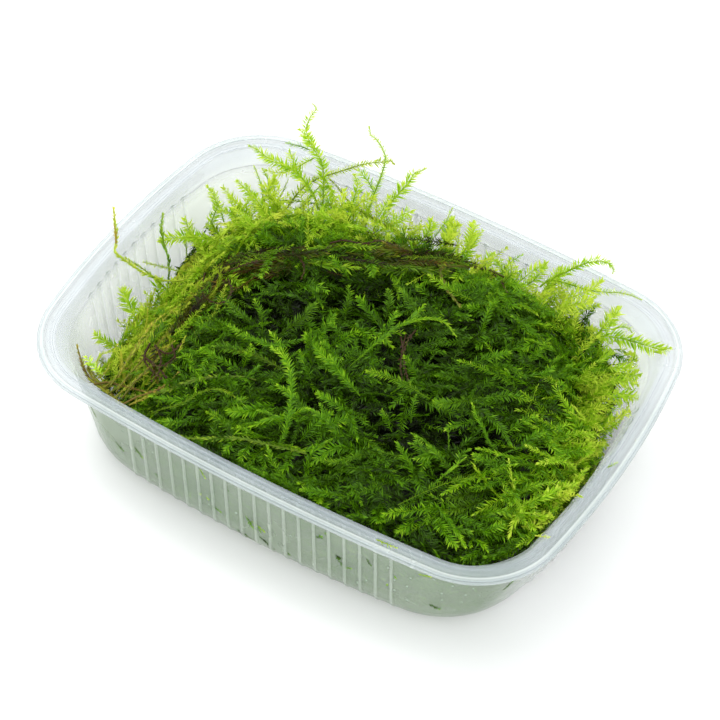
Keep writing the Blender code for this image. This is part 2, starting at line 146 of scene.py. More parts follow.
# The shoots that keep the frame's line: width, then root, middle and tip
PLAIN_SHOOTS = {
    "shoot_upper_left_b": (4.5, (-48, 26, 43), (-55, 28, 48), (-63, 29, 50.5)),
    "shoot_left_long": (5.5, (-60, 18, 35), (-71, 13, 36), (-79, 9, 33)),
    "shoot_left_short": (5.0, (-65, 17, 27), (-71, 17, 31), (-76, 18, 36.5)),
    "shoot_left_low_a": (6.0, (-67, -21, 29), (-73, -17, 30), (-77, -14, 32)),
    "shoot_left_low_b": (5.0, (-64, -32, 28), (-70, -33, 30), (-74, -33, 31)),
    "shoot_right_low_a": (6.0, (62, 36, 33), (69, 38, 34), (75, 39, 35)),
    "shoot_right_low_b": (6.0, (66, 29, 31), (73, 30, 33), (78, 30, 35)),
    "shoot_right_leaf": (3.5, (74, 12, 34), (77, 20, 33), (78, 26, 35)),
    "shoot_rear_a": (5.0, (-5, 38, 46), (-3, 43, 49), (-3, 46, 53)),
    "shoot_rear_b": (6.0, (3, 41, 45), (1, 50, 43.5), (0, 55, 47)),
    "shoot_rear_c": (6.0, (10, 44, 42), (8, 52, 42), (6, 57, 46)),
    "shoot_rear_d": (3.5, (25, 46, 38), (22, 50, 39.5), (18, 52, 42)),
    "shoot_rear_e": (5.0, (29, 46, 41), (32, 50, 43), (33, 55, 46)),
    "shoot_rear_f": (4.5, (37, 48, 37), (38, 53, 43), (38, 56, 46)),
}
# Shoots on the mat, traced on the photograph: its pixels at tip, middle and root, then width, tone,
# age and how far tip, middle and root lie above the mat
TRACED_ON_MAT = (
    ((270, 334), (288, 365), (291, 408), 5, 0.62, 0, 5, 4, 0),
    ((228, 325), (248, 336), (275, 352), 3, 0.6, 0, 4, 4, 1),
    ((305, 336), (322, 355), (352, 392), 5.5, 0.6, 0, 6, 4, 0),
    ((330, 356), (340, 370), (353, 388), 4.5, 0.6, 0, 6, 5, 1),
    ((367, 371), (394, 379), (430, 399), 4.2, 0.66, 0.1, 6, 5, 1),
    ((318, 393), (337, 405), (376, 430), 4.5, 0.62, 0, 4, 3, 0),
    ((229, 409), (250, 411), (276, 403), 6, 0.62, 0, 5, 4, 0),
    ((209, 413), (221, 421), (234, 434), 5, 0.62, 0.1, 5, 4, 0),
    ((316, 304), (299, 321), (280, 334), 6, 0.5, 0.15, 4, 3, 0),
    ((326, 291), (312, 284), (298, 291), 5, 0.58, 0, 5, 4, 0),
    ((349, 288), (348, 302), (345, 320), 4.5, 0.55, 0.1, 5, 3, -1),
    ((358, 298), (366, 307), (378, 325), 5, 0.58, 0, 5, 3, 0),
    ((430, 275), (447, 287), (472, 300), 4.5, 0.72, 0.05, 6, 6, 3),
    ((400, 288), (408, 300), (424, 316), 4.2, 0.56, 0.1, 5, 5, 2),
    ((322, 343), (330, 350), (344, 366), 3.5, 0.6, 0, 6, 5, 2),
    ((388, 290), (389, 304), (385, 320), 5, 0.52, 0.1, 4, 3, -1),
    ((395, 312), (390, 325), (380, 342), 4.5, 0.6, 0, 5, 4, 0),
    ((357, 331), (344, 338), (328, 348), 5, 0.6, 0, 5, 3, 0),
    ((330, 323), (340, 332), (351, 345), 4, 0.56, 0, 4, 3, 0),
    ((201, 349), (221, 360), (254, 380), 5, 0.6, 0, 4, 3, 0),
    ((215, 347), (240, 351), (274, 364), 5.5, 0.52, 0.1, 4, 4, 1),
    ((261, 277), (270, 260), (278, 244), 4.8, 0.62, 0, 6, 6, 2),
    ((373, 275), (371, 262), (364, 250), 5, 0.56, 0, 5, 6, 3),
    ((434, 401), (455, 402), (482, 397), 5, 0.58, 0.1, 4, 4, 1),
    ((527, 400), (508, 396), (484, 398), 5, 0.6, 0, 4, 4, 1),
    ((537, 416), (523, 422), (505, 434), 4.5, 0.66, 0, 5, 4, 0),
    ((544, 434), (531, 438), (520, 451), 4.5, 0.62, 0, 5, 4, 0),
    ((474, 454), (489, 463), (509, 477), 4, 0.62, 0, 4, 4, 2),
    ((471, 488), (492, 484), (512, 474), 4, 0.6, 0, 3, 4, 2),
    ((490, 479), (452, 482), (398, 505), 3, 0.66, 0.15, 4, 5, 2),
    ((416, 437), (423, 453), (433, 474), 4, 0.6, 0, 4, 3, 0),
    ((427, 445), (442, 460), (464, 480), 3.5, 0.58, 0, 4, 3, 0),
    ((526, 522), (513, 508), (499, 494), 5, 0.62, 0.1, 3, 3, 1),
    ((456, 546), (445, 533), (434, 516), 5.5, 0.64, 0, 3, 3, 0),
    ((465, 546), (452, 525), (436, 505), 2.6, 0.64, 0, 4, 4, 1),
    ((502, 526), (492, 529), (479, 533), 5.5, 0.62, 0, 3, 3, 0),
    ((400, 530), (408, 525), (418, 517), 5.5, 0.64, 0, 3, 3, 0),
    ((446, 511), (466, 505), (492, 500), 6, 0.5, 0.2, 2, 2, 0),
    ((448, 499), (468, 494), (492, 490), 5.5, 0.48, 0.2, 2, 2, 0),
    ((471, 404), (482, 428), (492, 447), 2.2, 0.62, 0, 4, 4, 2),
    ((416, 396), (412, 408), (411, 423), 3.5, 0.56, 0, 3, 3, 0),
    ((538, 385), (533, 397), (527, 412), 1.4, 0.64, 0.2, 5, 4, 2),
    ((477, 346), (490, 339), (510, 325), 5, 0.52, 0, 3, 3, 1),
    ((509, 353), (490, 358), (462, 366), 5, 0.58, 0, 5, 4, 1),
    ((544, 343), (538, 355), (520, 370), 3, 0.6, 0, 5, 4, 1),
    ((525, 348), (535, 342), (544, 334), 5, 0.56, 0, 4, 4, 1),
    ((506, 369), (508, 380), (504, 394), 3, 0.62, 0, 5, 4, 1),
    ((553, 368), (545, 376), (536, 388), 4.5, 0.58, 0, 4, 3, 0),
    ((562, 383), (556, 392), (550, 404), 5, 0.6, 0, 4, 3, 0),
    ((452, 287), (466, 290), (486, 296), 5, 0.58, 0, 4, 4, 1),
    ((470, 307), (482, 310), (500, 316), 5, 0.55, 0, 4, 3, 0),
    ((477, 458), (487, 452), (500, 443), 5, 0.6, 0, 4, 3, 0),
    ((446, 428), (462, 424), (486, 417), 4, 0.58, 0, 4, 3, 0),
    ((178, 357), (214, 342), (232, 318), 2.2, 0.62, 0, 4, 4, 2),
    ((304, 452), (282, 445), (262, 443), 2.4, 0.6, 0.2, 4, 4, 2),
    ((290, 400), (288, 425), (276, 447), 2.2, 0.6, 0, 5, 4, 3),
    ((241, 459), (246, 450), (254, 440), 5, 0.62, 0, 3, 3, 0),
    ((332, 412), (315, 425), (300, 441), 5, 0.56, 0, 3, 3, 0),
    ((302, 490), (318, 492), (345, 496), 5, 0.6, 0, 3, 3, 0),
    ((285, 470), (290, 460), (292, 448), 5, 0.55, 0, 3, 3, 0),
    ((404, 357), (410, 365), (418, 378), 4, 0.6, 0, 5, 4, 1),
    ((382, 411), (386, 420), (392, 432), 3.5, 0.6, 0, 4, 3, 0),
    ((351, 420), (332, 424), (308, 438), 5, 0.58, 0, 3, 3, 0),
    ((330, 257), (340, 268), (350, 280), 4, 0.6, 0, 6, 5, 1),
    ((250, 346), (247, 356), (243, 368), 4, 0.66, 0, 6, 4, 0),
    ((300, 352), (306, 366), (312, 384), 4, 0.58, 0, 4, 3, 0),
    ((255, 300), (262, 316), (262, 334), 4.5, 0.56, 0.1, 4, 3, 0),
    ((226, 300), (236, 310), (250, 322), 4.5, 0.56, 0.1, 5, 4, 0),
    ((190, 318), (203, 326), (222, 336), 4.5, 0.58, 0.1, 4, 3, 0),
    ((176, 330), (190, 340), (205, 352), 4, 0.56, 0.1, 4, 3, 0),
)
# The same for long shoots: width, tone, age, height above the mat, then pixels from root to tip
TRACED_LONG = (
    (4.4, 0.64, 0.0, 5, (
        (278, 446), (284, 436), (288, 420), (291, 404), (292, 388), (290, 372), (283, 356), (272, 347))),
    (3.6, 0.62, 0.0, 4.5, ((290, 370), (282, 354), (270, 345), (256, 340), (240, 333), (228, 326))),
    (4.8, 0.64, 0.0, 5, ((360, 396), (350, 384), (334, 367), (320, 353), (306, 337))),
    (2.4, 0.64, 0.05, 5.5, (
        (350, 366), (366, 352), (380, 340), (394, 329), (408, 322), (422, 319), (436, 319), (446, 323),
        (456, 336))),
    (2.6, 0.62, 0.05, 5.5, ((398, 327), (410, 322), (418, 313), (424, 305))),
    (3.0, 0.56, 0.3, 4, ((292, 374), (278, 367), (257, 356), (236, 351), (218, 348))),
    (1.7, 0.64, 0.25, 4, (
        (150, 414), (165, 408), (181, 404), (197, 394), (214, 389), (230, 394), (244, 403))),
    (3.0, 0.56, 0.1, 3, ((420, 452), (400, 456), (378, 452), (356, 456), (334, 462), (310, 458))),
)
# Shoots that stand free, traced the same way: width, tone, age, how far back root and tip are, and
# pixels from root to tip
TRACED_STANDING = (
    (4.5, 0.86, 0.1, 30, 36, ((224, 222), (217, 203), (208, 187))),
    (4, 0.9, 0, 48, 50, ((318, 152), (309, 140), (300, 130))),
    (5, 0.92, 0, 44, 50, ((462, 254), (472, 237), (474, 223))),
    (3.5, 0.9, 0, 47, 50, ((470, 248), (476, 240), (482, 231))),
    (5.5, 0.92, 0, 42, 48, ((447, 250), (449, 236), (451, 220))),
    (3.5, 0.88, 0, 40, 46, ((425, 252), (429, 239), (430, 227))),
    (3.5, 0.86, 0, 44, 50, ((512, 284), (505, 272), (498, 262))),
    (4, 0.86, 0, 45, 50, ((512, 290), (514, 278), (516, 268))),
    (5, 0.9, 0, 46, 54, ((518, 283), (532, 272), (544, 266))),
    (4.5, 0.86, 0, 47, 54, ((543, 292), (551, 280), (558, 270))),
    (6, 0.94, 0.1, 44, 50, ((562, 300), (585, 292), (600, 283))),
    (6, 0.94, 0.1, 40, 46, ((555, 310), (575, 304), (590, 300))),
    (5.5, 0.9, 0, 40, 46, ((604, 338), (612, 322), (618, 310))),
    (2, 0.9, 0, 42, 48, ((612, 330), (624, 326), (632, 331))),
    (5, 0.9, 0, 28, 34, ((608, 368), (626, 368), (637, 371))),
    (5, 0.88, 0, 24, 30, ((606, 382), (624, 381), (637, 384))),
    (5, 0.86, 0, 20, 25, ((604, 394), (624, 394), (638, 399))),
    (4.5, 0.9, 0.2, 10, 18, ((604, 428), (620, 416), (630, 412))),
    (5, 0.84, 0, 20, 24, ((210, 238), (183, 238), (157, 239))),
    (4, 0.86, 0, 20, 26, ((196, 246), (187, 232), (184, 220))),
    (4, 0.76, 0.15, -38, -30, ((120, 378), (104, 371), (92, 363))),
    (1.3, 0.84, 0.15, 38, 42, ((273, 213), (276, 206), (282, 194), (288, 179))),
    (1.8, 0.66, 0.1, 42, 44, (
        (359, 217), (344, 213), (330, 205), (315, 204), (303, 202), (288, 201), (275, 201))),
    (2.2, 0.74, 0.05, 37, 42, ((294, 221), (300, 211), (305, 204), (313, 194), (320, 186))),
    (2.0, 0.72, 0.35, 36, 42, (
        (448, 265), (431, 254), (417, 246), (402, 237), (384, 225), (373, 219), (359, 211), (348, 202),
        (338, 188), (328, 178))),
    (2.2, 0.62, 0.85, 40, 43, ((384, 226), (369, 216), (359, 210), (348, 207), (338, 205))),
    (1.9, 0.62, 0.9, 36, 42, (
        (398, 245), (388, 239), (375, 234), (361, 230), (354, 228), (342, 223), (333, 215), (331, 204))),
    (1.4, 0.66, 0.05, 35, 38, ((323, 243), (324, 225), (324, 209))),
    (2.0, 0.82, 0.05, 34, 42, ((262, 213), (265, 198), (269, 188), (268, 179), (263, 170))),
    (5.2, 0.88, 0.1, 30, 34, ((262, 234), (253, 223), (242, 209), (232, 198), (224, 189))),
    (3.4, 0.9, 0.05, 36, 40, ((255, 212), (252, 198), (253, 188), (246, 184))),
    (1.5, 0.84, 0.3, 27, 33, ((222, 263), (226, 256), (232, 246), (240, 233), (248, 221))),
    (1.8, 0.64, 0.6, 27, 31, ((248, 266), (251, 260), (257, 250), (261, 238))),
    (3.0, 0.7, 0.05, 33, 38, ((315, 243), (303, 233), (284, 221), (261, 213))),
    (2.6, 0.72, 0.0, 52, 53, ((310, 150), (299, 146), (285, 143))),
    (5.0, 0.86, 0.0, 42, 46, ((300, 181), (297, 171), (294, 161), (290, 153))),
    (4.6, 0.92, 0.05, 44, 42, ((314, 158), (304, 163), (296, 168), (280, 173), (266, 170))),
    (4.4, 0.92, 0.05, 40, 41, ((323, 176), (330, 187), (334, 196), (336, 205))),
    (4.2, 0.82, 0.0, 43, 46, ((375, 194), (370, 183), (366, 177), (359, 170))),
    (5.4, 0.86, 0.0, 40, 44, ((384, 232), (388, 225), (398, 213), (412, 211))),
    (5.0, 0.88, 0.0, 40, 44, ((382, 230), (392, 226), (402, 222), (409, 218))),
    (5.0, 0.9, 0.0, 38, 42, ((374, 224), (381, 214), (385, 206), (388, 198))),
    (4.6, 0.92, 0.0, 38, 41, ((362, 224), (366, 214), (368, 204), (367, 195))),
    (4.6, 0.9, 0.0, 36, 40, ((330, 236), (336, 226), (341, 218), (343, 209))),
    (4.6, 0.88, 0.0, 36, 39, ((312, 232), (316, 224), (322, 216), (326, 206))),
    (4.8, 0.86, 0.0, 35, 38, ((290, 232), (294, 222), (297, 214), (302, 205))),
    (5.0, 0.84, 0.05, 33, 36, ((276, 232), (272, 223), (262, 214), (251, 206))),
    (5.0, 0.8, 0.05, 30, 34, ((256, 232), (246, 222), (236, 214), (222, 211))),
    (5.0, 0.84, 0.05, 34, 36, ((278, 238), (283, 228), (283, 218), (280, 208))),
    (4.6, 0.82, 0.1, 28, 32, ((232, 246), (222, 234), (212, 226), (201, 221))),
    (2.0, 0.98, 0.85, -9.5, -1, ((116, 243), (115, 228), (113, 208))),
    (2.4, 0.84, 0.2, -4, 2, ((196, 272), (180, 271), (166, 267), (150, 264), (138, 258))),
    (1.8, 0.8, 0.2, -8, -12, ((170, 292), (160, 283), (148, 272), (136, 264), (126, 258))),
    (3.8, 0.9, 0.15, 4, 9, ((172, 312), (163, 300), (151, 288), (139, 277))),
    (3.4, 0.86, 0.15, 0, 5, ((172, 326), (162, 314), (151, 307), (141, 297))),
    (3.5, 0.84, 0.1, 2, 6, ((182, 316), (176, 306), (165, 296), (158, 286))),
    (2.7, 0.86, 0.2, -16, 2, ((113, 372), (119, 356), (129, 332), (133, 312), (131, 300), (126, 288))),
    (2.0, 0.74, 0.55, -30, -14, ((102, 384), (107, 376), (112, 366), (119, 346), (121, 334))),
    (3.7, 0.8, 0.1, -32, -22, ((121, 358), (112, 351), (107, 344), (97, 337))),
    (3.2, 0.76, 0.3, -36, -28, ((116, 374), (108, 366), (100, 360), (92, 354))),
    (2.9, 0.74, 0.35, -38, -31, ((112, 386), (103, 376), (95, 370), (88, 364))),
    (3.5, 0.78, 0.2, -20, -12, ((140, 350), (132, 342), (125, 336), (118, 328))),
    (3.5, 0.82, 0.15, -10, -3, ((152, 336), (146, 326), (142, 316), (138, 306))),
    (3.5, 0.8, 0.2, -4, 2, ((166, 322), (158, 316), (150, 312), (142, 314))),
)
# The loose shoots whose bends the photograph shows: widths and how far back they are, evenly spaced
# from root to tip, and pixels from root to tip
TRACED_LOOSE = {
    "shoot_back_tall": ((3, 4.4, 5, 5, 4.6, 4.4, 3.8, 3.2, 1.8), (34, 55), (
        (320, 222), (323, 207), (323, 194), (324, 177), (322, 161), (315, 150), (309, 139), (306, 129),
        (308, 120), (313, 112), (316, 108), (312, 103))),
    "shoot_back_left_fan": ((3, 4.4, 5.2, 5.2, 4.6, 3.6), (33, 43), (
        (318, 210), (315, 198), (305, 181), (296, 172), (285, 166), (274, 161), (265, 156), (257, 149),
        (250, 146))),
    "shoot_back_slim": ((3.8, 3.2, 2.6, 2.4, 2.4, 3.0), (40, 63), (
        (366, 222), (370, 206), (374, 194), (379, 182), (383, 169), (386, 160), (383, 150), (377, 140),
        (370, 135), (369, 127))),
    "shoot_back_brown_tip": ((4.6, 4.6, 3.0, 2.6, 3.8, 2.8), (35, 62), (
        (282, 215), (288, 206), (296, 195), (305, 185), (315, 179), (327, 175), (340, 171), (354, 167),
        (365, 164), (375, 163), (384, 162), (391, 161), (395, 165))),
    "shoot_back_right_fan": ((3, 4.8, 5.2, 4.6, 3.2), (40, 62), (
        (381, 220), (387, 208), (392, 201), (400, 192), (408, 183), (414, 174), (425, 169))),
    "shoot_back_short": ((3.4, 4.6, 4.8, 3.6), (34, 46), (
        (343, 229), (350, 210), (354, 198), (358, 185), (354, 174))),
    "shoot_upper_left_a": ((3.6, 4.4, 4.4, 3.0), (22, 24), (
        (224, 240), (212, 226), (215, 213), (218, 204), (214, 194), (208, 186))),
    "shoot_upper_left_c": ((2.4, 2.2, 2.0, 2.4), (32, 36), (
        (264, 216), (263, 206), (263, 194), (261, 184), (257, 175), (254, 167))),
    "shoot_right_hook": ((3.4, 4.2, 4.4, 4.0, 3.0, 2.0), (48, 58, 64), (
        (546, 284), (552, 279), (558, 275), (568, 271), (578, 265), (586, 262), (594, 260), (601, 260),
        (608, 262), (612, 266), (614, 270), (613, 274))),
    "shoot_right_long": ((3.0, 3.4, 3.0, 2.4, 1.8), (48, 54, 58), (
        (540, 287), (548, 280), (558, 281), (568, 284), (580, 288), (592, 291), (606, 292), (620, 292),
        (632, 295), (642, 300))),
    "shoot_right_over_rim": ((6.0, 6.2, 6.0, 5.4, 4.0), (42, 45, 45), (
        (594, 336), (606, 336), (618, 338), (630, 340), (642, 343), (654, 347), (664, 351), (672, 349))),
    "shoot_right_fan": ((5.0, 5.8, 4.4), (43, 50), (
        (596, 336), (604, 327), (611, 318), (617, 309))),
}
# Bare stems that stand clear: name, thickness, tone, age, how far back they are, evenly spaced from
# root to tip, and pixels from root to tip
STANDING_STEMS = (
    ("stem_left_yellow_tip", 1.2, 0.8, 0.35, (-8, -12, -13, -12.5, -1), (
        (184, 280), (165, 281), (152, 276), (140, 271), (125, 260), (115, 252), (116, 238), (113, 208))),
    ("stem_left_upright", 1.1, 0.64, 0.15, (1, 5, 8), (
        (168, 284), (169, 270), (168, 258), (164, 246), (162, 234), (162, 224), (163, 215))),
    ("stem_left_wall", 1.8, 0.6, 0.9, (-50, -50, -50, -48, -45, -42), (
        (131, 412), (120, 402), (101, 388), (88, 378), (82, 362), (78, 346))),
)
# Bare stems that lie over the mat: name, thickness, tone, age, height above it, and pixels
LYING_STEMS = (
    ("stem_front_left", 1.3, 0.56, 0.4, 3.5, (
        (256, 380), (245, 377), (223, 377), (200, 379), (181, 385), (165, 391), (144, 394), (120, 396))),
    ("stem_front", 1.3, 0.58, 0.35, 3.5, (
        (306, 454), (290, 449), (269, 445), (257, 442), (240, 438), (214, 439), (190, 438), (176, 436))),
    ("stem_over_mat", 1.4, 0.5, 0.7, 5.0, (
        (504, 277), (486, 269), (460, 267), (440, 269), (445, 288), (460, 308))),
)
# The band of old olive-brown shoots over the back of the mat: height above it, and pixels
OLD_BAND_LIFT = 2.0
OLD_BAND = (
    (160, 386), (158, 364), (168, 346), (184, 328), (198, 308), (216, 286), (240, 268), (268, 259),
    (299, 255), (350, 255), (400, 259), (440, 264), (466, 270),
)
# Thin dark red-brown stems, and two golden-brown ones in the left corner: thickness, height above
# the mat, tone, and pixels
DARK_STEMS = (
    (0.8, 4.0, 0.34, (
        (205, 273), (202, 285), (204, 296), (213, 302), (221, 304), (229, 298), (232, 290), (229, 279))),
    (0.7, 4.0, 0.34, ((201, 284), (212, 277), (224, 272), (238, 267), (252, 262), (266, 260))),
    (0.9, 5.0, 0.34, ((144, 357), (152, 362), (159, 368), (165, 376), (168, 384))),
    (0.9, 6.0, 0.34, ((155, 345), (161, 357), (159, 371), (152, 381))),
    (0.8, 5.5, 0.34, ((172, 345), (175, 357), (168, 364), (158, 366), (148, 361))),
    (0.8, 5.0, 0.34, ((150, 343), (144, 357), (149, 368), (158, 376), (170, 386))),
    (0.8, 6.0, 0.34, ((160, 350), (168, 354), (176, 351), (182, 344))),
    (0.8, 3.0, 0.62, ((94, 384), (110, 382), (128, 388), (148, 392), (168, 388))),
    (0.8, 4.0, 0.64, ((118, 408), (134, 398), (152, 392), (166, 384), (178, 372))),
    (0.7, 4.0, 0.34, ((292, 252), (300, 258), (304, 268), (300, 278))),
    (0.7, 5.0, 0.34, ((330, 243), (345, 240), (362, 244), (380, 240), (398, 246))),
    (0.7, 4.0, 0.34, ((452, 262), (470, 262), (486, 270), (500, 282), (508, 294))),
    (0.7, 2.5, 0.34, ((400, 330), (402, 344), (404, 358), (406, 374), (412, 388))),
    (0.6, 2.5, 0.34, ((406, 334), (402, 350), (400, 366), (403, 380))),
    (0.6, 3.0, 0.34, ((416, 330), (408, 340), (404, 352))),
)
# Golden-brown stems and a sprig in the left corner and along the mat's left edge:
# leaf width, stem's half thickness, tone, age, lift over the mat, then the line in pixels
CORNER_STEMS = (
    (1.1, 0.45, 0.74, 0.7, 1.5, ((87, 368), (93, 379), (104, 388), (114, 398), (124, 407))),
    (1.1, 0.40, 0.80, 0.6, 2.0, ((88, 378), (100, 387), (111, 394), (121, 404), (130, 410))),
    (1.2, 0.40, 0.70, 0.7, 3.0, ((104, 388), (116, 378), (128, 368), (141, 357), (152, 344))),
    (1.2, 0.35, 0.64, 0.6, 3.5, ((108, 394), (120, 384), (132, 374), (146, 362))),
    (1.2, 0.35, 0.76, 0.6, 3.0, ((112, 400), (126, 388), (136, 380), (148, 374))),
    (1.4, 0.30, 0.80, 0.6, 2.5, ((98, 378), (106, 372), (112, 360), (118, 346))),
    (1.3, 0.35, 0.78, 0.7, 3.0, ((129, 405), (144, 398), (159, 390), (176, 386))),
    (1.2, 0.35, 0.72, 0.7, 2.0, ((86, 362), (94, 375), (103, 384), (112, 386))),
    (1.3, 0.35, 0.70, 0.6, 4.5, ((110, 386), (124, 366), (140, 346), (158, 326), (176, 308))),
    (1.3, 0.35, 0.66, 0.7, 4.5, ((116, 392), (132, 370), (150, 350), (168, 332), (188, 316))),
    (1.3, 0.35, 0.62, 0.7, 4.5, ((122, 398), (136, 382), (152, 368), (164, 352), (176, 340))),
    (1.3, 0.30, 0.74, 0.7, 5.0, ((118, 378), (128, 358), (142, 338), (152, 326), (166, 312))),
    (3.4, 0.25, 0.84, 0.0, 4.0, ((103, 375), (98, 370), (92, 364), (86, 358))),
)
# The bundle of thin stems that hangs over the left edge of the mat: its two edges, in pixels, the share
# of its shoots that carry a comb of leaves, widths with and without one, and tones
TANGLE_LEFT = ((108, 388), (111, 364), (124, 338), (142, 314), (164, 290), (190, 266))
TANGLE_RIGHT = ((152, 404), (160, 378), (176, 350), (196, 322), (216, 296), (236, 268))
COMB_SHARE = 0.3
COMB_WIDTHS = (2.6, 3.8)
BARE_WIDTHS = (1.2, 2.0)
TANGLE_TONES = (0.66, 0.98)
# Bright shoots that stand loosely: count, start and end of the line of their roots, direction, spread,
# length and tone
FRINGE_GROUPS = (
    (80, (-62, 28), (-8, 34), (-0.3, 0.5, 0.75), 0.45, (8, 15), (0.78, 0.98)),
    (62, (-8, 40), (56, 44), (0.3, 0.65, 0.45), 0.42, (8, 16), (0.78, 1.0)),
    (85, (60, 40), (76, -26), (0.75, 0.2, 0.25), 0.45, (8, 15), (0.7, 0.96)),
    (36, (-68, -20), (-60, 30), (-0.6, 0.1, 0.45), 0.5, (6, 11), (0.62, 0.86)),
)
# How far the fringe's roots lie off that line and below the mat, its widths, the leaves' angles, and
# the share of shoots that branch
FRINGE_SPREAD = 3.2
FRINGE_DEPTH = 8
FRINGE_WIDTHS = (2.8, 5.2)
FRINGE_LEAN = (42, 56)
FRINGE_BRANCHES = 0.3
# Water drops at the front wall: x, height, radius before DROP_SIZE
DROPS = (
    (-40, 27.5, 0.5), (-39, 28.8, 0.4), (-44, 22, 0.5), (-38, 27.2, 0.4), (-37, 23.5, 0.5),
    (-48, 25.8, 0.7), (-46, 26.2, 0.5), (-25, 19.5, 0.6), (-20, 12.5, 0.7), (-17, 12.5, 0.5),
    (-7, 16, 0.7), (-10, 10.5, 0.6), (12, 18.5, 0.6), (14, 19.2, 0.5), (20, 24.2, 0.5),
    (34, 9.8, 0.6), (37, 13, 0.6), (37, 4, 0.7), (44, 24.8, 0.5), (46, 19.5, 0.5), (46, 14.2, 0.7),
    (50, 18.8, 0.7), (51, 24, 0.6), (58, 27.5, 0.5), (60, 20, 0.7), (60, 15.8, 0.6),
    (63, 25.2, 0.6), (66, 19.2, 0.7), (68, 23, 0.6), (69, 17.5, 0.6), (65, 14.5, 0.6),
    (63, 9.5, 0.5), (50, 11.5, 0.8),
)
# Bits of moss stuck to the front wall: x and height of both ends, width, tone, age. Like the drops,
# they lie about where the photograph shows them
FLECKS = (
    (-18.9, 29.5, -17.3, 26.5, 1.9, 0.66, 0.1), (-20.6, 16.6, -19.6, 16, 1.2, 0.7, 0.3),
    (-17.5, 16.4, -16.8, 15.8, 1.0, 0.66, 0.2), (-15.6, 13.4, -12.8, 12.6, 2.0, 0.42, 0.0),
    (-9.7, 26.5, -8.9, 26.1, 0.8, 0.25, 0.0), (-3.4, 17.6, -0.4, 12.2, 2.4, 0.5, 0.0),
    (-1.5, 16.3, 2.6, 14.4, 2.2, 0.6, 0.1), (-0.8, 14.2, 1.6, 13.2, 1.6, 0.4, 0.0),
    (-7.2, 7.4, -3, 6.2, 2.4, 0.3, 0.0), (-4.4, 6.8, -0.4, 5.4, 1.8, 0.46, 0.1),
    (1, 10.2, 6, 7.2, 2.0, 0.26, 0.0), (10.7, 9, 11.5, 8.4, 1.0, 0.4, 0.0),
    (20.8, 24.4, 22.6, 26, 2.2, 0.4, 0.0), (23.6, 28.6, 24.6, 28.9, 1.3, 0.55, 0.1),
    (27.2, 20.2, 28.2, 18.6, 2.6, 0.2, 0.0), (28, 17.4, 30.6, 15.6, 2.0, 0.36, 0.0),
    (30.8, 15.9, 32.2, 16.4, 1.2, 0.5, 0.1), (37.2, 25, 38.6, 22.6, 1.5, 0.24, 0.0),
    (43.4, 15.2, 44, 16, 1.0, 0.6, 0.1), (46, 22.2, 46.6, 21.2, 1.0, 0.56, 0.0),
    (53.6, 28.2, 57, 29, 1.8, 0.7, 0.1), (56.6, 12.6, 59, 10.6, 2.4, 0.3, 0.0),
    (59, 29.3, 59.8, 29, 1.0, 0.4, 0.0), (-44, 21, -41.4, 18, 2.0, 0.44, 0.1),
    (-52, 17, -49, 15, 1.8, 0.36, 0.0), (-37, 13, -34.6, 12, 1.6, 0.3, 0.0),
    (-62, 26, -60, 22, 1.6, 0.4, 0.2), (74, 15, 76, 18, 1.8, 0.34, 0.1),
)
# Share of the radius at which drops are made, how flat they are, and how far in from the wall's inner
# face drops and bits lie: below 0 is outwards
DROP_SIZE = 0.7
DROP_FLATNESS = 0.7
DROP_CLEAR = -0.62
FLECK_CLEAR = -0.84
STUCK_CLEAR = -0.9
# Bits left on the rim: width, tone, age, then both ends
RIM_BITS = (
    (2.0, 0.75, 0.1, (42, -61.5, 41.9), (48, -61, 41.8)),
    (2.2, 0.95, 0.1, (79, -37, 42.8), (82.5, -35.5, 42.9)),
    (1.6, 0.7, 0.1, (85, -4, 42.8), (86.5, -1, 42.8)),
)


# ---------------------------------------------------------------- camera, light and stage

CAMERA_PLACE = Vector((223.6, -409.2, 556.7))
# The view's back and right, from the front right and 48 degrees down
VIEW_BACK = (0.3190, -0.5838, 0.7466)
VIEW_RIGHT = (0.8560, 0.5154, 0.0372)
LENS = 115.71
SENSOR = 36.0
PHOTO = 720.0
CLIP = (0.01, 20.0)
# Lamps: place, size and power, in metres
LAMPS = {"key": ((-0.3, 0.1, 0.95), 0.6, 5.0), "front": ((0.5, -0.9, 0.7), 0.7, 5.0)}
SKY_COLOUR = (0.98, 1.0, 1.0, 1.0)
FLOOR_COLOUR = (0.93, 0.93, 0.93, 1.0)
FLOOR_HALF = 3.0
FLOOR_DROP = 0.0003


def camera_axes():
    """Right, up and back of the photograph's view."""
    back = Vector(VIEW_BACK).normalized()
    right = Vector(VIEW_RIGHT)
    right = (right - back * right.dot(back)).normalized()
    return right, back.cross(right), back


def make_camera():
    data = bpy.data.cameras.new("camera")
    data.sensor_width = SENSOR
    data.lens = LENS
    data.clip_start, data.clip_end = CLIP
    camera = bpy.data.objects.new("camera", data)
    bpy.context.scene.collection.objects.link(camera)
    turn = Matrix(camera_axes()).transposed().to_4x4()
    camera.matrix_world = Matrix.Translation(CAMERA_PLACE * MM) @ turn
    bpy.context.scene.camera = camera


def area_light(name, place, size, power):
    data = bpy.data.lights.new(name, "AREA")
    data.shape = "DISK"
    data.size = size
    data.energy = power
    light = bpy.data.objects.new(name, data)
    bpy.context.scene.collection.objects.link(light)
    light.location = place
    light.rotation_euler = (-Vector(place)).to_track_quat("-Z", "Y").to_euler()


def smooth_mesh(name, bm):
    """The finished mesh of a bmesh, which is freed."""
    mesh = bpy.data.meshes.new(name)
    bm.to_mesh(mesh)
    bm.free()
    mesh.shade_smooth()
    return mesh


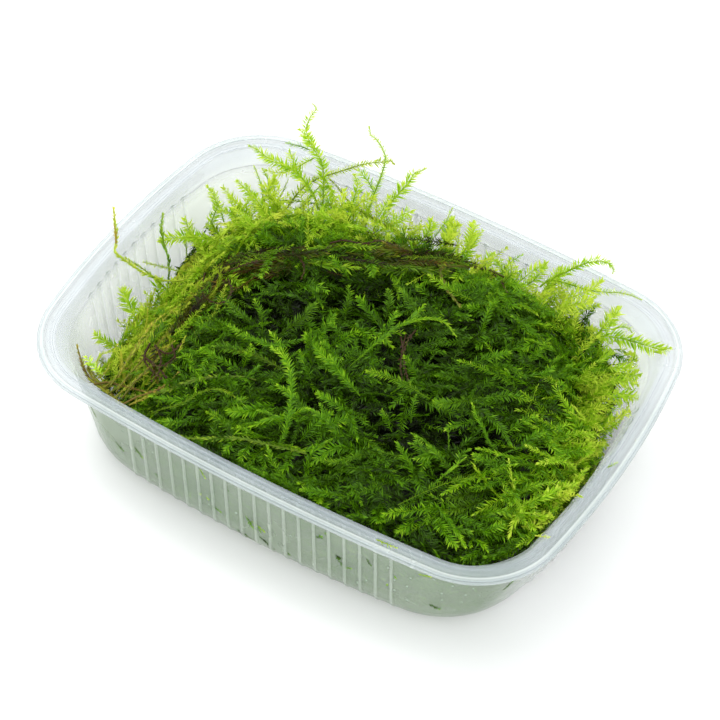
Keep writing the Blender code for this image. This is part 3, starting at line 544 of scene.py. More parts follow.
def add_piece(name, mesh, material, replaced=()):
    """Puts a mesh in the scene as a piece of the body, in place of the nodes that it replaces."""
    mesh.materials.append(material)
    piece = bpy.data.objects.new(name, mesh)
    bpy.context.scene.collection.objects.link(piece)
    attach(piece, BODY)
    if replaced:
        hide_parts(*replaced)
    return piece


def make_studio():
    scene = bpy.context.scene
    scene.view_settings.view_transform = "Standard"
    world = bpy.data.worlds.new("studio")
    world.use_nodes = True
    sky = world.node_tree.nodes["Background"]
    sky.inputs["Color"].default_value = SKY_COLOUR
    sky.inputs["Strength"].default_value = 1.0
    scene.world = world
    for name, lamp in LAMPS.items():
        area_light(name, *lamp)
    bm = bmesh.new()
    bmesh.ops.create_grid(bm, x_segments=1, y_segments=1, size=FLOOR_HALF)
    bmesh.ops.translate(bm, vec=(0, 0, -FLOOR_DROP), verts=bm.verts)
    floor = smooth_mesh("floor", bm)
    ground = bpy.data.objects.new("floor", floor)
    scene.collection.objects.link(ground)
    material, shader = new_material("floor")[:2]
    shader.inputs["Base Color"].default_value = FLOOR_COLOUR
    shader.inputs["Roughness"].default_value = 0.9
    shader.inputs["Specular IOR Level"].default_value = 0.1
    floor.materials.append(material)


# ---------------------------------------------------------------- materials

# The plastic's colours, two each: bare wall, front wall in painted green shade of the moss behind it,
# rim in painted blue-grey shade, painted highlight on the beads' tops, painted shade in the grooves, and
# where on the cloudy grain they lie
PLASTIC_TINTS = (
    ((0.84, 0.89, 0.86), (0.90, 0.93, 0.91)), ((0.38, 0.49, 0.35), (0.48, 0.58, 0.44)),
    ((0.42, 0.48, 0.51), (0.50, 0.56, 0.59)), ((0.82, 0.89, 0.84), (0.90, 0.94, 0.91)),
    ((0.25, 0.29, 0.29), (0.32, 0.36, 0.36)),
)
TINT_PLACES = (0.3, 0.7)
# Roughness from the cloudy grain, cover from the wall to the rim, and cover on the beads' tops, where
# the painted highlight lies
PLASTIC_ROUGHNESS = (0.16, 0.34)
PLASTIC_COVER = (0.46, 0.42)
BEAD_COVER = 0.85
# Where the tub's plastic changes: from wall to the rim's painted blue-grey shade, in height, and to the
# front wall's painted green shade of the moss behind it, in depth
RIM_START = (34.0, 40.0)
FRONT_SHADE_START = (-30.0, -44.0)
# Ramps of colour: moss when fresh and old, and the bark of old stems, from dark to bright
FRESH = (
    (0.0, (0.003, 0.005, 0.001)), (0.2, (0.014, 0.030, 0.001)), (0.4, (0.048, 0.134, 0.001)),
    (0.6, (0.117, 0.315, 0.003)), (0.8, (0.330, 0.600, 0.011)), (1.0, (0.685, 0.850, 0.080)),
)
OLD = (
    (0.0, (0.005, 0.003, 0.002)), (0.25, (0.020, 0.013, 0.003)), (0.45, (0.070, 0.044, 0.005)),
    (0.65, (0.190, 0.125, 0.010)), (0.85, (0.400, 0.280, 0.025)), (1.0, (0.620, 0.470, 0.050)),
)
BARK = (
    (0.0, (0.010, 0.004, 0.003)), (0.3, (0.040, 0.016, 0.010)), (0.5, (0.085, 0.048, 0.014)),
    (0.7, (0.220, 0.150, 0.025)), (0.85, (0.420, 0.300, 0.035)), (1.0, (0.620, 0.470, 0.050)),
)
# Painted shade for the clump's dark heart, by its grain, and a water drop's painted light and shade,
# from its pale middle to its dark edge
DEPTHS_SHADE = (
    (0.3, (0.003, 0.004, 0.002)), (0.48, (0.010, 0.018, 0.003)), (0.6, (0.022, 0.045, 0.005)),
    (0.75, (0.045, 0.040, 0.008)),
)
DROP_PAINTED_LIGHT = ((0.0, (0.60, 0.68, 0.60)), (0.3, (0.32, 0.42, 0.32)), (0.8, (0.04, 0.06, 0.04)))
DROP_ROUGHNESS = (0.01, 0.08)


def new_material(name):
    """A material, its shader, and the nodes and links of its tree."""
    material = bpy.data.materials.new(name)
    material.use_nodes = True
    tree = material.node_tree
    return material, tree.nodes["Principled BSDF"], tree.nodes, tree.links


def ramp(nodes, links, value, stops):
    """A colour that goes through the stops with the value."""
    node = nodes.new("ShaderNodeValToRGB")
    marks = node.color_ramp.elements
    while len(marks) < len(stops):
        marks.new(0.5)
    for mark, (place, colour) in zip(marks, stops):
        mark.position = place
        mark.color = (*colour, 1.0)
    links.new(value, node.inputs["Fac"])
    return node.outputs["Color"]


def on_mesh(nodes, name):
    """A number that is kept on the mesh."""
    node = nodes.new("ShaderNodeAttribute")
    node.attribute_name = name
    return node.outputs["Fac"]


def grain(nodes, links, scale, detail=2.0, distortion=0.0):
    """Noise that is fixed to the piece, about 0 to 1."""
    place = nodes.new("ShaderNodeTexCoord")
    node = nodes.new("ShaderNodeTexNoise")
    node.inputs["Scale"].default_value = scale
    node.inputs["Detail"].default_value = detail
    node.inputs["Distortion"].default_value = distortion
    links.new(place.outputs["Object"], node.inputs["Vector"])
    return node.outputs["Fac"]


def between(nodes, links, value, ends):
    """A number that goes from the first end to the second while the value goes from 0 to 1."""
    node = nodes.new("ShaderNodeMapRange")
    node.inputs["To Min"].default_value = ends[0]
    node.inputs["To Max"].default_value = ends[1]
    links.new(value, node.inputs["Value"])
    return node.outputs["Result"]


def moss_material(name, roughness, glow, gloss, withered=OLD):
    """Leaf colour from two numbers kept on the mesh: tone, dark to bright, and age, green to brown."""
    material, shader, nodes, links = new_material(name)
    tone = on_mesh(nodes, "tone")
    fresh = ramp(nodes, links, tone, FRESH)
    old = ramp(nodes, links, tone, withered)
    colour = mixed(nodes, links, on_mesh(nodes, "age"), fresh, old)
    links.new(colour, shader.inputs["Base Color"])
    shader.inputs["Roughness"].default_value = roughness
    shader.inputs["Specular IOR Level"].default_value = gloss
    through = nodes.new("ShaderNodeBsdfTranslucent")
    links.new(colour, through.inputs["Color"])
    both = nodes.new("ShaderNodeMixShader")
    both.inputs["Fac"].default_value = glow
    links.new(shader.outputs["BSDF"], both.inputs[1])
    links.new(through.outputs["BSDF"], both.inputs[2])
    links.new(both.outputs["Shader"], nodes["Material Output"].inputs["Surface"])
    return material


def blend_over(nodes, links, value, limits):
    """A number that goes from 0 to 1 while the value passes from the first limit to the second."""
    node = nodes.new("ShaderNodeMapRange")
    node.inputs["From Min"].default_value = limits[0] * MM
    node.inputs["From Max"].default_value = limits[1] * MM
    links.new(value, node.inputs["Value"])
    return node.outputs["Result"]


def mixed(nodes, links, share, first, second):
    """A colour that goes from the first to the second with the share."""
    node = nodes.new("ShaderNodeMix")
    node.data_type = "RGBA"
    links.new(share, node.inputs["Factor"])
    links.new(first, node.inputs["A"])
    links.new(second, node.inputs["B"])
    return node.outputs["Result"]


def plastic_material():
    """Thin, milky polypropylene with painted shade: greener and darker at the front, where the moss shows
    through, blue-grey on the rim and grey in the grooves, and painted highlights along the beads.
    """
    material, shader, nodes, links = new_material("tub_plastic")
    cloud = grain(nodes, links, 60.0, 3.0)
    dry, wet, rim, bead, dark = (
        ramp(nodes, links, cloud, tuple(zip(TINT_PLACES, pair))) for pair in PLASTIC_TINTS
    )
    place = nodes.new("ShaderNodeTexCoord")
    axes = nodes.new("ShaderNodeSeparateXYZ")
    links.new(place.outputs["Object"], axes.inputs["Vector"])
    highlight_line = on_mesh(nodes, "highlight_line")
    height = blend_over(nodes, links, axes.outputs["Z"], RIM_START)
    front = blend_over(nodes, links, axes.outputs["Y"], FRONT_SHADE_START)
    # The front wall's tint is painted shade: darker and greener, as the moss behind it shows through
    tint = mixed(nodes, links, front, dry, wet)
    # Painted shade on the rim: blue-grey and darker than the wall, though it is the same plastic
    tint = mixed(nodes, links, height, tint, rim)
    # Painted highlight: a whiter tint on the tops of the beads and in lines along the rim
    tint = mixed(nodes, links, highlight_line, tint, bead)
    # The dark grey tint in the rim's channel and where the wall starts is painted shade
    tint = mixed(nodes, links, on_mesh(nodes, "groove_shade"), tint, dark)
    links.new(tint, shader.inputs["Base Color"])
    links.new(between(nodes, links, cloud, PLASTIC_ROUGHNESS), shader.inputs["Roughness"])
    # More cover where the painted highlight lies, so that it shows
    cover = nodes.new("ShaderNodeMapRange")
    links.new(between(nodes, links, height, PLASTIC_COVER), cover.inputs["To Min"])
    cover.inputs["To Max"].default_value = BEAD_COVER
    links.new(highlight_line, cover.inputs["Value"])
    links.new(cover.outputs["Result"], shader.inputs["Alpha"])
    shader.inputs["IOR"].default_value = 1.45
    shader.inputs["Transmission Weight"].default_value = 0.35
    return material


def water_material():
    """Drops with painted light and shade: pale in the middle and dark at the edge, by how they face the
    view.
    """
    material, shader, nodes, links = new_material("water_drop")
    ripple = grain(nodes, links, 300.0)
    links.new(between(nodes, links, ripple, DROP_ROUGHNESS), shader.inputs["Roughness"])
    edge = nodes.new("ShaderNodeLayerWeight")
    edge.inputs["Blend"].default_value = 0.4
    # Painted highlight in the middle and painted shade at the edge, from the facing
    links.new(ramp(nodes, links, edge.outputs["Facing"], DROP_PAINTED_LIGHT), shader.inputs["Base Color"])
    shader.inputs["IOR"].default_value = 1.33
    shader.inputs["Transmission Weight"].default_value = 0.3
    return material


def depths_shade_material():
    """The clump's heart in painted shade: near black-green, with brown patches of old moss."""
    material, shader, nodes, links = new_material("moss_depths_shade")
    strands = grain(nodes, links, 420.0, 5.0, 1.5)
    links.new(ramp(nodes, links, strands, DEPTHS_SHADE), shader.inputs["Base Color"])
    shader.inputs["Roughness"].default_value = 0.55
    bump = nodes.new("ShaderNodeBump")
    bump.inputs["Strength"].default_value = 0.8
    bump.inputs["Distance"].default_value = 0.002
    links.new(strands, bump.inputs["Height"])
    links.new(bump.outputs["Normal"], shader.inputs["Normal"])
    return material


# ---------------------------------------------------------------- tub outlines

def wall_shape(z):
    """Inward reach and the three radii of the wall's inner face at height z."""
    down = WALL_TOP_Z - z
    share = down / (WALL_TOP_Z - WALL - BASE_ROUND)
    pairs = zip(WALL_TOP_RADII, WALL_FOOT_RADII)
    return WALL_TOP_IN + DRAFT * down, [1 / ((1 - share) / a + share / b) for a, b in pairs]


def corner_of(length, width, long_bow, short_bow, corner):
    """Centres of the side arc, the end arc and the corner between them."""
    side = (length / 2 - short_bow, 0.0)
    end = (0.0, width / 2 - long_bow)
    from_side = short_bow - corner
    from_end = long_bow - corner
    apart = math.hypot(end[0] - side[0], end[1] - side[1])
    along = (from_side ** 2 - from_end ** 2 + apart ** 2) / (2 * apart)
    off = math.sqrt(from_side ** 2 - along ** 2)
    step = ((end[0] - side[0]) / apart, (end[1] - side[1]) / apart)
    centre = (side[0] + step[0] * along - step[1] * off, side[1] + step[1] * along + step[0] * off)
    return side, end, centre


def quarter(length, width, long_bow, short_bow, corner):
    """Close points from the middle of the short side, round the corner, to the middle of the long side."""
    side, end, centre = corner_of(length, width, long_bow, short_bow, corner)
    side_turn = math.atan2(centre[1] - side[1], centre[0] - side[0])
    end_turn = math.atan2(centre[1] - end[1], centre[0] - end[0])
    arcs = (
        (side, short_bow, 0.0, side_turn), (centre, corner, side_turn, end_turn),
        (end, long_bow, end_turn, math.pi / 2),
    )
    places, outs = [], []
    for (cx, cy), radius, first, last in arcs:
        turn = first + (last - first) * (np.arange(ARC_STEPS) + 0.5) / ARC_STEPS
        if first == 0.0:
            turn[0] = 0.0
        if last == math.pi / 2:
            turn[-1] = last
        outs.append(np.stack([np.cos(turn), np.sin(turn)], 1))
        places.append(np.array((cx, cy)) + radius * outs[-1])
    return np.concatenate(places), np.concatenate(outs)


def bead_marks(beads):
    """Offsets along one side, with the bead's height at each."""
    marks = [(-beads * BEAD_PITCH / 2, 0.0)]
    for k in range(beads):
        middle = (k - (beads - 1) / 2) * BEAD_PITCH
        marks += [(middle + across, high) for across, high in BEAD_PROFILE]
        marks.append((middle + BEAD_PITCH / 2, 0.0))
    return np.array(marks)


def on_line(values, along, line, outs):
    """Places and outward directions where the line's growing measure along reaches each value."""
    place = np.stack([np.interp(values, along, line[:, k]) for k in (0, 1)], 1)
    out = np.stack([np.interp(values, along, outs[:, k]) for k in (0, 1)], 1)
    return place, out


def ring(length, width, long_bow, short_bow, corner, bead=0.0):
    """The outline as points, anticlockwise, pushed out by the beads. Always the same point count."""
    line, outs = quarter(length, width, long_bow, short_bow, corner)
    marks = bead_marks(BEADS["short"])
    place, out = on_line(np.abs(marks[:, 0]), line[:, 1], line, outs)
    right = place + out * marks[:, 1:] * bead
    right[:, 1] = np.copysign(right[:, 1], marks[:, 0])
    marks = bead_marks(BEADS["long"])
    place, out = on_line(np.abs(marks[:, 0]), line[::-1, 0], line[::-1], outs[::-1])
    top = place + out * marks[:, 1:] * bead
    top[:, 0] = np.copysign(top[:, 0], marks[:, 0])
    run = np.concatenate([[0.0], np.cumsum(np.linalg.norm(np.diff(line, axis=0), axis=1))])
    first = np.interp(BEADS["short"] * BEAD_PITCH / 2, line[:, 1], run)
    last = np.interp(BEADS["long"] * BEAD_PITCH / 2, line[::-1, 0], run[::-1])
    bend = on_line(np.linspace(first, last, BEND_STEPS + 2)[1:-1], run, line, outs)[0]
    half = np.concatenate([right, bend, top[::-1], bend[::-1] * (-1, 1)])
    return np.concatenate([half, -half])


def wall_outline(z, clear=0.0):
    inward, (long_bow, short_bow, corner) = wall_shape(z)
    inset = 2 * (inward + clear)
    return RIM_LENGTH - inset, RIM_WIDTH - inset, long_bow, short_bow, corner - clear


def wall_ring(z, clear=0.0, bead=0.0):
    return ring(*wall_outline(z, clear), bead)


def rim_ring(inward):
    inset = 2 * inward
    return ring(RIM_LENGTH - inset, RIM_WIDTH - inset, LONG_BOW, SHORT_BOW, RIM_CORNER - inward)


def foot_inset(z):
    """How far the wall has curved in below the start of the base rounding."""
    drop = min(1.0, max(0.0, (FOOT_Z - z) / BASE_ROUND))
    return BASE_ROUND * (1 - math.sqrt(1 - drop * drop))


def front_wall(x, z, clear):
    """A place on the front wall, clear in from its inner face, and the outward direction there."""
    line, outs = quarter(*wall_outline(max(z, FOOT_Z), clear + foot_inset(z)))
    place, out = on_line(np.array([abs(x)]), line[::-1, 0], line[::-1], outs[::-1])
    place = np.array((x - drawn_in(x, -place[0, 1], z), -place[0, 1], z))
    return place, np.array((math.copysign(out[0, 0], x), -out[0, 1], 0.0))


def bead_tops():
    """Which points of a ring lie on the top of a bead."""
    right = bead_marks(BEADS["short"])[:, 1] == 1.0
    top = bead_marks(BEADS["long"])[:, 1] == 1.0
    bend = np.zeros(BEND_STEPS, bool)
    half = np.concatenate([right, bend, top[::-1], bend])
    return np.concatenate([half, half])


def drawn_in(x, y, z):
    """How far the right wall is drawn in below the rim, behind the front corner."""
    return RIGHT_DRAW * smooth(x, *DRAW_ALONG) * smooth(y, *DRAW_BEHIND) * smooth(RIM_Z - z, *DRAW_BELOW)


def tub_rings():
    """Rings of the tub's inner skin from the rim's outer edge to the middle of the floor."""
    rings = [(rim_ring(inward), RIM_Z - down) for inward, down in RIM_SECTION]
    low = wall_ring(WALL_TOP_Z, -STEP_OUT)
    high = rings[-1][0]
    for share, z in STEP_RINGS:
        rings.append((high * (1 - share) + low * share, z))
    rings.append((wall_ring(WALL_TOP_Z, -TOP_OUT), WALL_TOP_Z + 0.02))
    rings.append((wall_ring(WALL_TOP_Z - 0.25), WALL_TOP_Z - 0.25))
    rings.append((wall_ring(WALL_TOP_Z - 0.3, 0, BEAD_HEIGHT * 0.5), WALL_TOP_Z - 0.3))
    for z in (WALL_TOP_Z - 0.6, *WALL_HEIGHTS, FOOT_Z):
        rings.append((wall_ring(z, 0, BEAD_HEIGHT), z))
    for turn, bead in FOOT_RINGS:
        a = math.radians(turn)
        inset = BASE_ROUND * (1 - math.cos(a))
        rings.append((wall_ring(FOOT_Z, inset, BEAD_HEIGHT * bead), FOOT_Z - BASE_ROUND * math.sin(a)))
    floor = rings[-1][0]
    for share in FLOOR_SHARES:
        rings.append((floor * share, WALL))
    for places, z in rings:
        places[:, 0] -= drawn_in(places[:, 0], places[:, 1], z)
    return rings


def extruded(bm, edges):
    """Extrudes a ring of edges in place, and gives the new edges and corners."""
    grown = bmesh.ops.extrude_edge_only(bm, edges=edges)["geom"]
    new_edges = [part for part in grown if isinstance(part, bmesh.types.BMEdge)]
    return new_edges, [part for part in grown if isinstance(part, bmesh.types.BMVert)]


def make_tub(material):
    """The tub: each ring is extruded from the last, and Solidify gives the wall its thickness."""
    rings = tub_rings()
    bm = bmesh.new()
    highlight_line = bm.verts.layers.float.new("highlight_line")
    groove_shade = bm.verts.layers.float.new("groove_shade")
    on_bead = bead_tops()
    verts = bmesh.ops.create_circle(bm, segments=len(on_bead), radius=1.0)["verts"]
    bm.verts.index_update()
    verts = sorted(verts, key=lambda vert: vert.index)
    edges = list(bm.edges)
    for step, (places, z) in enumerate(rings):
        if step:
            order = {tuple(vert.co): number for number, vert in enumerate(verts)}
            edges, grown = extruded(bm, edges)
            verts = sorted(grown, key=lambda vert: order[tuple(vert.co)])
        beaded = WALL + BASE_ROUND * 0.5 < z < WALL_TOP_Z
        for vert, (x, y), top in zip(verts, places, on_bead):
            vert.co = Vector((x, y, z)) * MM
            # Painted highlight on the tops of the beads and in white lines along the rim
            vert[highlight_line] = BEAD_HIGHLIGHT * top if beaded else RIM_HIGHLIGHTS.get(step, 0.0)
            # Painted shade in the rim's channel and where the wall starts
            vert[groove_shade] = RIM_GROOVE_SHADE.get(step, 0.0)
    bmesh.ops.holes_fill(bm, edges=edges)
    bmesh.ops.recalc_face_normals(bm, faces=bm.faces)
    bm.faces.ensure_lookup_table()
    if bm.faces[-1].normal.z < 0:
        bmesh.ops.reverse_faces(bm, faces=bm.faces)
    mesh = smooth_mesh("clear_tub", bm)
    mesh.set_sharp_from_angle(angle=math.radians(SHARP_ANGLE))
    tub = add_piece("clear_tub", mesh, material, ("tub",))
    shell = tub.modifiers.new("wall", "SOLIDIFY")
    shell.thickness = WALL * MM
    shell.offset = -1.0
    shell.use_even_offset = True


# ---------------------------------------------------------------- where moss may be

LEVELS = np.linspace(1.0, 42.0, 24)
# How far moss keeps from the floor and the rim, and what counts as over the rim: how far outside the
# wall and how near below the rim
FLOOR_CLEAR = 0.3
RIM_CLEAR = 0.6
OVER_RIM = 2.5
BELOW_RIM = 6.0
# How far shoots are kept from the wall before their leaves are added, where nothing else is said
SHOOT_CLEAR = 2.5


def level_table():
    """Arc centres and radii of the wall's inner face at each level, for holding moss inside it."""
    rows = []
    for z in LEVELS:
        inward, (long_bow, short_bow, corner) = wall_shape(max(min(z, WALL_TOP_Z), FOOT_Z))
        inward += foot_inset(z)
        if z > WALL_TOP_Z:
            inward -= (z - RIM_Z + WALL_TOP_DOWN) / WALL_TOP_DOWN
        length, width = RIM_LENGTH - 2 * inward, RIM_WIDTH - 2 * inward
        side, end, centre = corner_of(length, width, long_bow, short_bow, corner)
        rows.append((side[0], end[1], centre[0], centre[1], short_bow, long_bow, corner))
    return np.array(rows)


TABLE = level_table()


def hold_inside(points, clear=SHOOT_CLEAR, lift_over=False):
    """Moves points that would pass through the wall to its inner face, or over the rim."""
    points = points.copy()
    draw = drawn_in(points[:, 0], points[:, 1], points[:, 2])
    points[:, 0] += draw
    x, y, z = points[:, 0], points[:, 1], points[:, 2]
    sx, ey, cx, cy, short_bow, long_bow, corner = (np.interp(z, LEVELS, TABLE[:, k]) for k in range(7))
    ax, ay = np.abs(x), np.abs(y)
    over_side = np.hypot(ax - sx, ay) - (short_bow - clear)
    over_end = np.hypot(ax, ay - ey) - (long_bow - clear)
    over_corner = np.hypot(ax - cx, ay - cy) - (corner - clear)
    bend = (ax > cx) & (ay > cy)
    over = np.where(bend, over_corner, np.maximum(over_side, over_end))
    away = z < RIM_Z + RIM_CLEAR
    if lift_over:
        jump = away & (over > OVER_RIM) & (z > RIM_Z - BELOW_RIM)
        points[jump, 2] = RIM_Z + RIM_CLEAR
        away &= ~jump
    pull = np.where(away & (over > 0), over, 0.0)
    side_first = ~bend & (over_side >= over_end)
    end_first = ~bend & ~side_first
    for mask, ox, oy in ((bend, cx, cy), (side_first, sx, 0 * sx), (end_first, 0 * ey, ey)):
        dx, dy = ax - ox, ay - oy
        size = np.maximum(np.hypot(dx, dy), 1e-6)
        ax = np.where(mask, ax - dx / size * pull, ax)
        ay = np.where(mask, ay - dy / size * pull, ay)
    points[:, 0] = np.copysign(ax, x) - draw
    points[:, 1] = np.copysign(ay, y)
    points[:, 2] = np.maximum(points[:, 2], WALL + FLOOR_CLEAR)
    return points


def in_hollow(x, y, middle_x, middle_y, reach):
    """How deep in one hollow a place is, from 0 to 1."""
    return np.exp(-((x - middle_x) ** 2 + (y - middle_y) ** 2) / reach ** 2)


def crown(x, y, hollows=HOLLOWS):
    """Height of the mat's surface, with its dark hollows."""
    gap = (x[..., None] - MAT_HEIGHTS[:, 0]) ** 2 + (y[..., None] - MAT_HEIGHTS[:, 1]) ** 2 + 4.0
    weight = gap ** -1.6
    height = (weight * MAT_HEIGHTS[:, 2]).sum(-1) / weight.sum(-1)
    for *hollow, depth in hollows:
        height = height - depth * in_hollow(x, y, *hollow)
    return height


def shade_of(x, y):
    """How deep in a hollow a place is, from 0 to 1, for the painted shade there."""
    found = np.zeros_like(x)
    for hollow in HOLLOWS:
        found = np.maximum(found, in_hollow(x, y, *hollow[:3]))
    return found


def edge_at(table, at):
    """Where an edge of the dense moss is at each place along it."""
    return np.interp(at, table[:, 0], table[:, 1])


def soft_limit(value, edge, sign, give=3.0):
    """Eases value to stay on its side of an edge: below it for sign 1, above it for sign -1."""
    past = np.clip((value - edge) * sign / give, -30, 30)
    return np.where(past > -8, edge - sign * give * np.log1p(np.exp(-past)), value)


def left_edge(y, z):
    """Where the moss ends on the left: further from the wall the higher it is."""
    return edge_at(LEFT_EDGE, y) + EDGE_SLOPE * (z - EDGE_LEVEL)


def heaped(points, give=3.0):
    """Draws places in from the sides where the photograph shows the tub bare."""
    x, y, z = points[..., 0], points[..., 1], points[..., 2]
    x = soft_limit(x, left_edge(y, z), -1, give)
    x = soft_limit(x, edge_at(RIGHT_EDGE, y), 1, give)
    y = soft_limit(y, edge_at(BACK_EDGE, x), 1, give)
    return np.stack([x, y, z], -1)


def mat_place(u, v):
    """Place on the mat, from above, for a place on a square: drawn in where the tub shows bare."""
    across = MAT_HALF[0] * np.sqrt(1 - MAT_ROUNDING * v * v)
    along = MAT_HALF[1] * np.sqrt(1 - MAT_ROUNDING * u * u)
    x, y = u * across, v * along
    y = np.where(v > 0, y * np.minimum(1, edge_at(BACK_EDGE, x) / along), y)
    left_end = left_edge(y, crown(-across, y))
    right_end = edge_at(RIGHT_EDGE, y)
    return x * np.where(u > 0, np.minimum(1, right_end / across), np.minimum(1, -left_end / across)), y


def scatter(count, spread=1.0):
    """Places all over the mat, seen from above."""
    u, v = rng.uniform(-spread, spread, (2, count))
    return np.stack(mat_place(u, v), 1)


# ---------------------------------------------------------------- places seen in the photograph

RIGHT, UP, BACK = (np.array(axis) for axis in camera_axes())
EYE = np.array(CAMERA_PLACE)
ZOOM = LENS / SENSOR * PHOTO


def sight(pixels):
    """Directions from the camera through pixels of the photograph."""
    pixels = (np.array(pixels, float) - PHOTO / 2) / ZOOM
    return pixels[..., :1] * RIGHT - pixels[..., 1:] * UP - BACK


def on_mat(pixels, lift):
    """Places that far above the mat, hollows left out, that the camera sees at the pixels."""
    way = sight(pixels)
    z = np.full(way.shape[:-1], 45.0)
    for settle in range(40):
        spot = EYE + way * ((z - EYE[2]) / way[..., 2])[..., None]
        z = 0.6 * z + 0.4 * (crown(spot[..., 0], spot[..., 1], ()) + lift)
    return spot


def at_depth(pixels, depth):
    """Places that far back in the tub that the camera sees at the pixels."""
    way = sight(pixels)
    return EYE + way * ((depth - EYE[1]) / way[..., 1])[..., None]


def in_view(points):
    """Pixels of the photograph at which places are seen, and how near they are to the camera."""
    gap = points - EYE
    near = gap @ BACK
    return np.stack([gap @ RIGHT, -(gap @ UP)], -1) / -near[..., None] * ZOOM, near


def smooth(value, low, high):
    t = np.clip((value - low) / (high - low), 0, 1)
    return t * t * (3 - 2 * t)


def unit(v):
    return v / np.maximum(np.linalg.norm(v, axis=-1, keepdims=True), 1e-9)


# ---------------------------------------------------------------- shoots

# Directions that shoots face: on the back slope, at the left edge, in the fringe, traced on the mat,
# standing free, stems, and loose shoots
SLOPE_FACING = (-0.2, 0.9, 0.5)
TANGLE_FACING = (0.3, -0.5, 0.8)
FRINGE_FACING = (0.3, -0.6, 0.7)
MAT_FACING = (0.25, -0.45, 0.85)
FREE_FACING = (0.3, -0.55, 0.78)
STEM_FACING = (0.2, -0.4, 0.9)
LOOSE_FACING = (0.35, -0.6, 0.72)
# Side branches: rounds in which they are added, where along the shoot, at what angles, their lengths
# and widths beside the shoot's
BRANCH_ROUNDS = 2
BRANCH_PLACES = (0.3, 0.75)
BRANCH_ANGLES = (28, 60)
BRANCH_LENGTHS = (0.2, 0.42)
BRANCH_WIDTH = 0.8
# Extra lightening, for fresher growth and painted backlight, at the mat's left edge and in its upper
# left corner
SIDE_BRIGHT = 1.12
CORNER_BRIGHT = 0.72
# Across the photograph, as a direction from above, and which shares of the shoots run outwards and
# which outwards or across
IMAGE_RIGHT = math.atan2(VIEW_RIGHT[1], VIEW_RIGHT[0])
OUTWARD_SHARE = 0.2
ACROSS_SHARE = 0.7
# The mat's layers: how near a traced shoot, in pixels, no shoot may pass over it, tone of its patches,
# the leaves' angles, and the share, width and angle of thin rope-like shoots
MARK_REACH = 6.0
PATCH_TONE = 0.03
LAYER_LEAN = (44, 58)
ROPE_SHARE = 0.18
ROPE_WIDTH = 0.5
ROPE_LEAN = 26.0
# How far shoots at the walls and on the slopes keep from the wall
SIDE_CLEAR = 2.2
# Shoots at the walls: half sizes of an outline outside the tub, from which they are drawn in, its mean
# reach, their heights and the highest, their lengths, widths and tones
OUTSIDE = (96, 74)
OUTSIDE_REACH = 78.0
BY_WALL_LEVELS = (3.0, 34.0)
BY_WALL_TOP = 40.0
BY_WALL_LENGTHS = (14, 30)
BY_WALL_WIDTHS = (3.5, 5.5)
BY_WALL_TONES = (0.28, 0.5)
# Shoots on the back slope: from where to where along the tub, how far down it they lie, their lengths,
# widths and tones
SLOPE_ALONG = (-70, 62)
SLOPE_FALL = (2, 17)
SLOPE_LENGTHS = (12, 22)
SLOPE_WIDTHS = (3.0, 5.0)
SLOPE_TONES = (0.36, 0.66)
# The band of old shoots: lengths as shares of the band, its half breadth, the share of green shoots,
# tones and ages of green and of old ones, and widths
BAND_LENGTHS = (0.08, 0.16)
BAND_SPREAD = 2.6
GREEN_SHARE = 0.3
GREEN_TONES = (0.42, 0.62)
GREEN_AGES = (0.0, 0.3)
BROWN_TONES = (0.22, 0.46)
BROWN_AGES = (0.5, 1.0)
BAND_WIDTHS = (1.9, 3.8)
# The body in painted shade: how far its top keeps from the wall, and its sides' heights with the same
DEPTHS_CLEAR = 3.0
DEPTHS_SIDES = ((16.0, 3.2), (9.0, 3.4), (3.5, 4.0), (1.6, 6.0))
# How far the body's top lies below the mat at its edge and elsewhere, how much lumps move it, and how
# much of the mat it fills to the sides, the back and the front
DEPTHS_EDGE = 9.0
DEPTHS_TOP = 5.5
DEPTHS_LUMPS = 1.2
DEPTHS_FILL = (0.97, 0.88, 0.96)
# Traced shoots: widths and tones beside those in the tables, below which width they are narrow or
# nearly bare, and looks that those on the mat share
SHORT_WIDTH = 0.76
SHORT_DARKER = 0.09
LONG_WIDTH = 0.8
LONG_DARKER = 0.07
FREE_WIDTH = 0.9
NARROW = 2.8
NEARLY_BARE = 2.4
TRACED_LOOKS = {"boat": True, "spacing": 0.17, "leaf_shape": 0.17, "stem_tone": 0.05, "stem_age": 0.12}
# How far leaves are kept from the wall, where nothing else is said
LEAF_CLEAR = 0.9
# The map of tone and age: how much of it they fill, its edge, and each triangle's corners on it
MAP_SHARE = 0.97
MAP_EDGE = 0.01
MAP_CORNERS = ((0, 0), (0.006, 0.002), (0.002, 0.007))
# Share of a shoot at its root that has no leaves, where the leaves of the bud start and how far they
# reach, and how far towards the tip the other leaves go
BARE_SHARE = 0.03
BUD_START = 0.965
BUD_SPAN = 0.03
LEAF_SPAN = 0.97
# The stem's half thickness at its tip, as a share taken off, and the turns of its three corners
STEM_TAPER = 0.65
STEM_TURNS = (90, 210, 330)
# Leaves, beside the shoot's own width and angle: sizes, size and angle of the row on top, spread of
# their angles and of the way they face, breadth and angles in the bud
LEAF_SIZES = (0.6, 1.2)
TOP_ROW_SIZE = 0.75
TOP_ROW_LEAN = 0.6
LEAN_SPREAD = 0.14
FACE_SPREAD = 0.32
BUD_BREADTH = 1.7
BUD_LEANS = (0.2, 0.9)
# Shape of a leaf: where along it it is broadest, how far its edges stand up beside its half breadth,
# how far its tip bends down, and where the fold of a boat-shaped one lies and how deep
BROADEST = 0.38
EDGE_RISE = 0.4
TIP_DROP = 0.08
FOLD_PLACE = 0.5
FOLD_DEPTH = 0.25
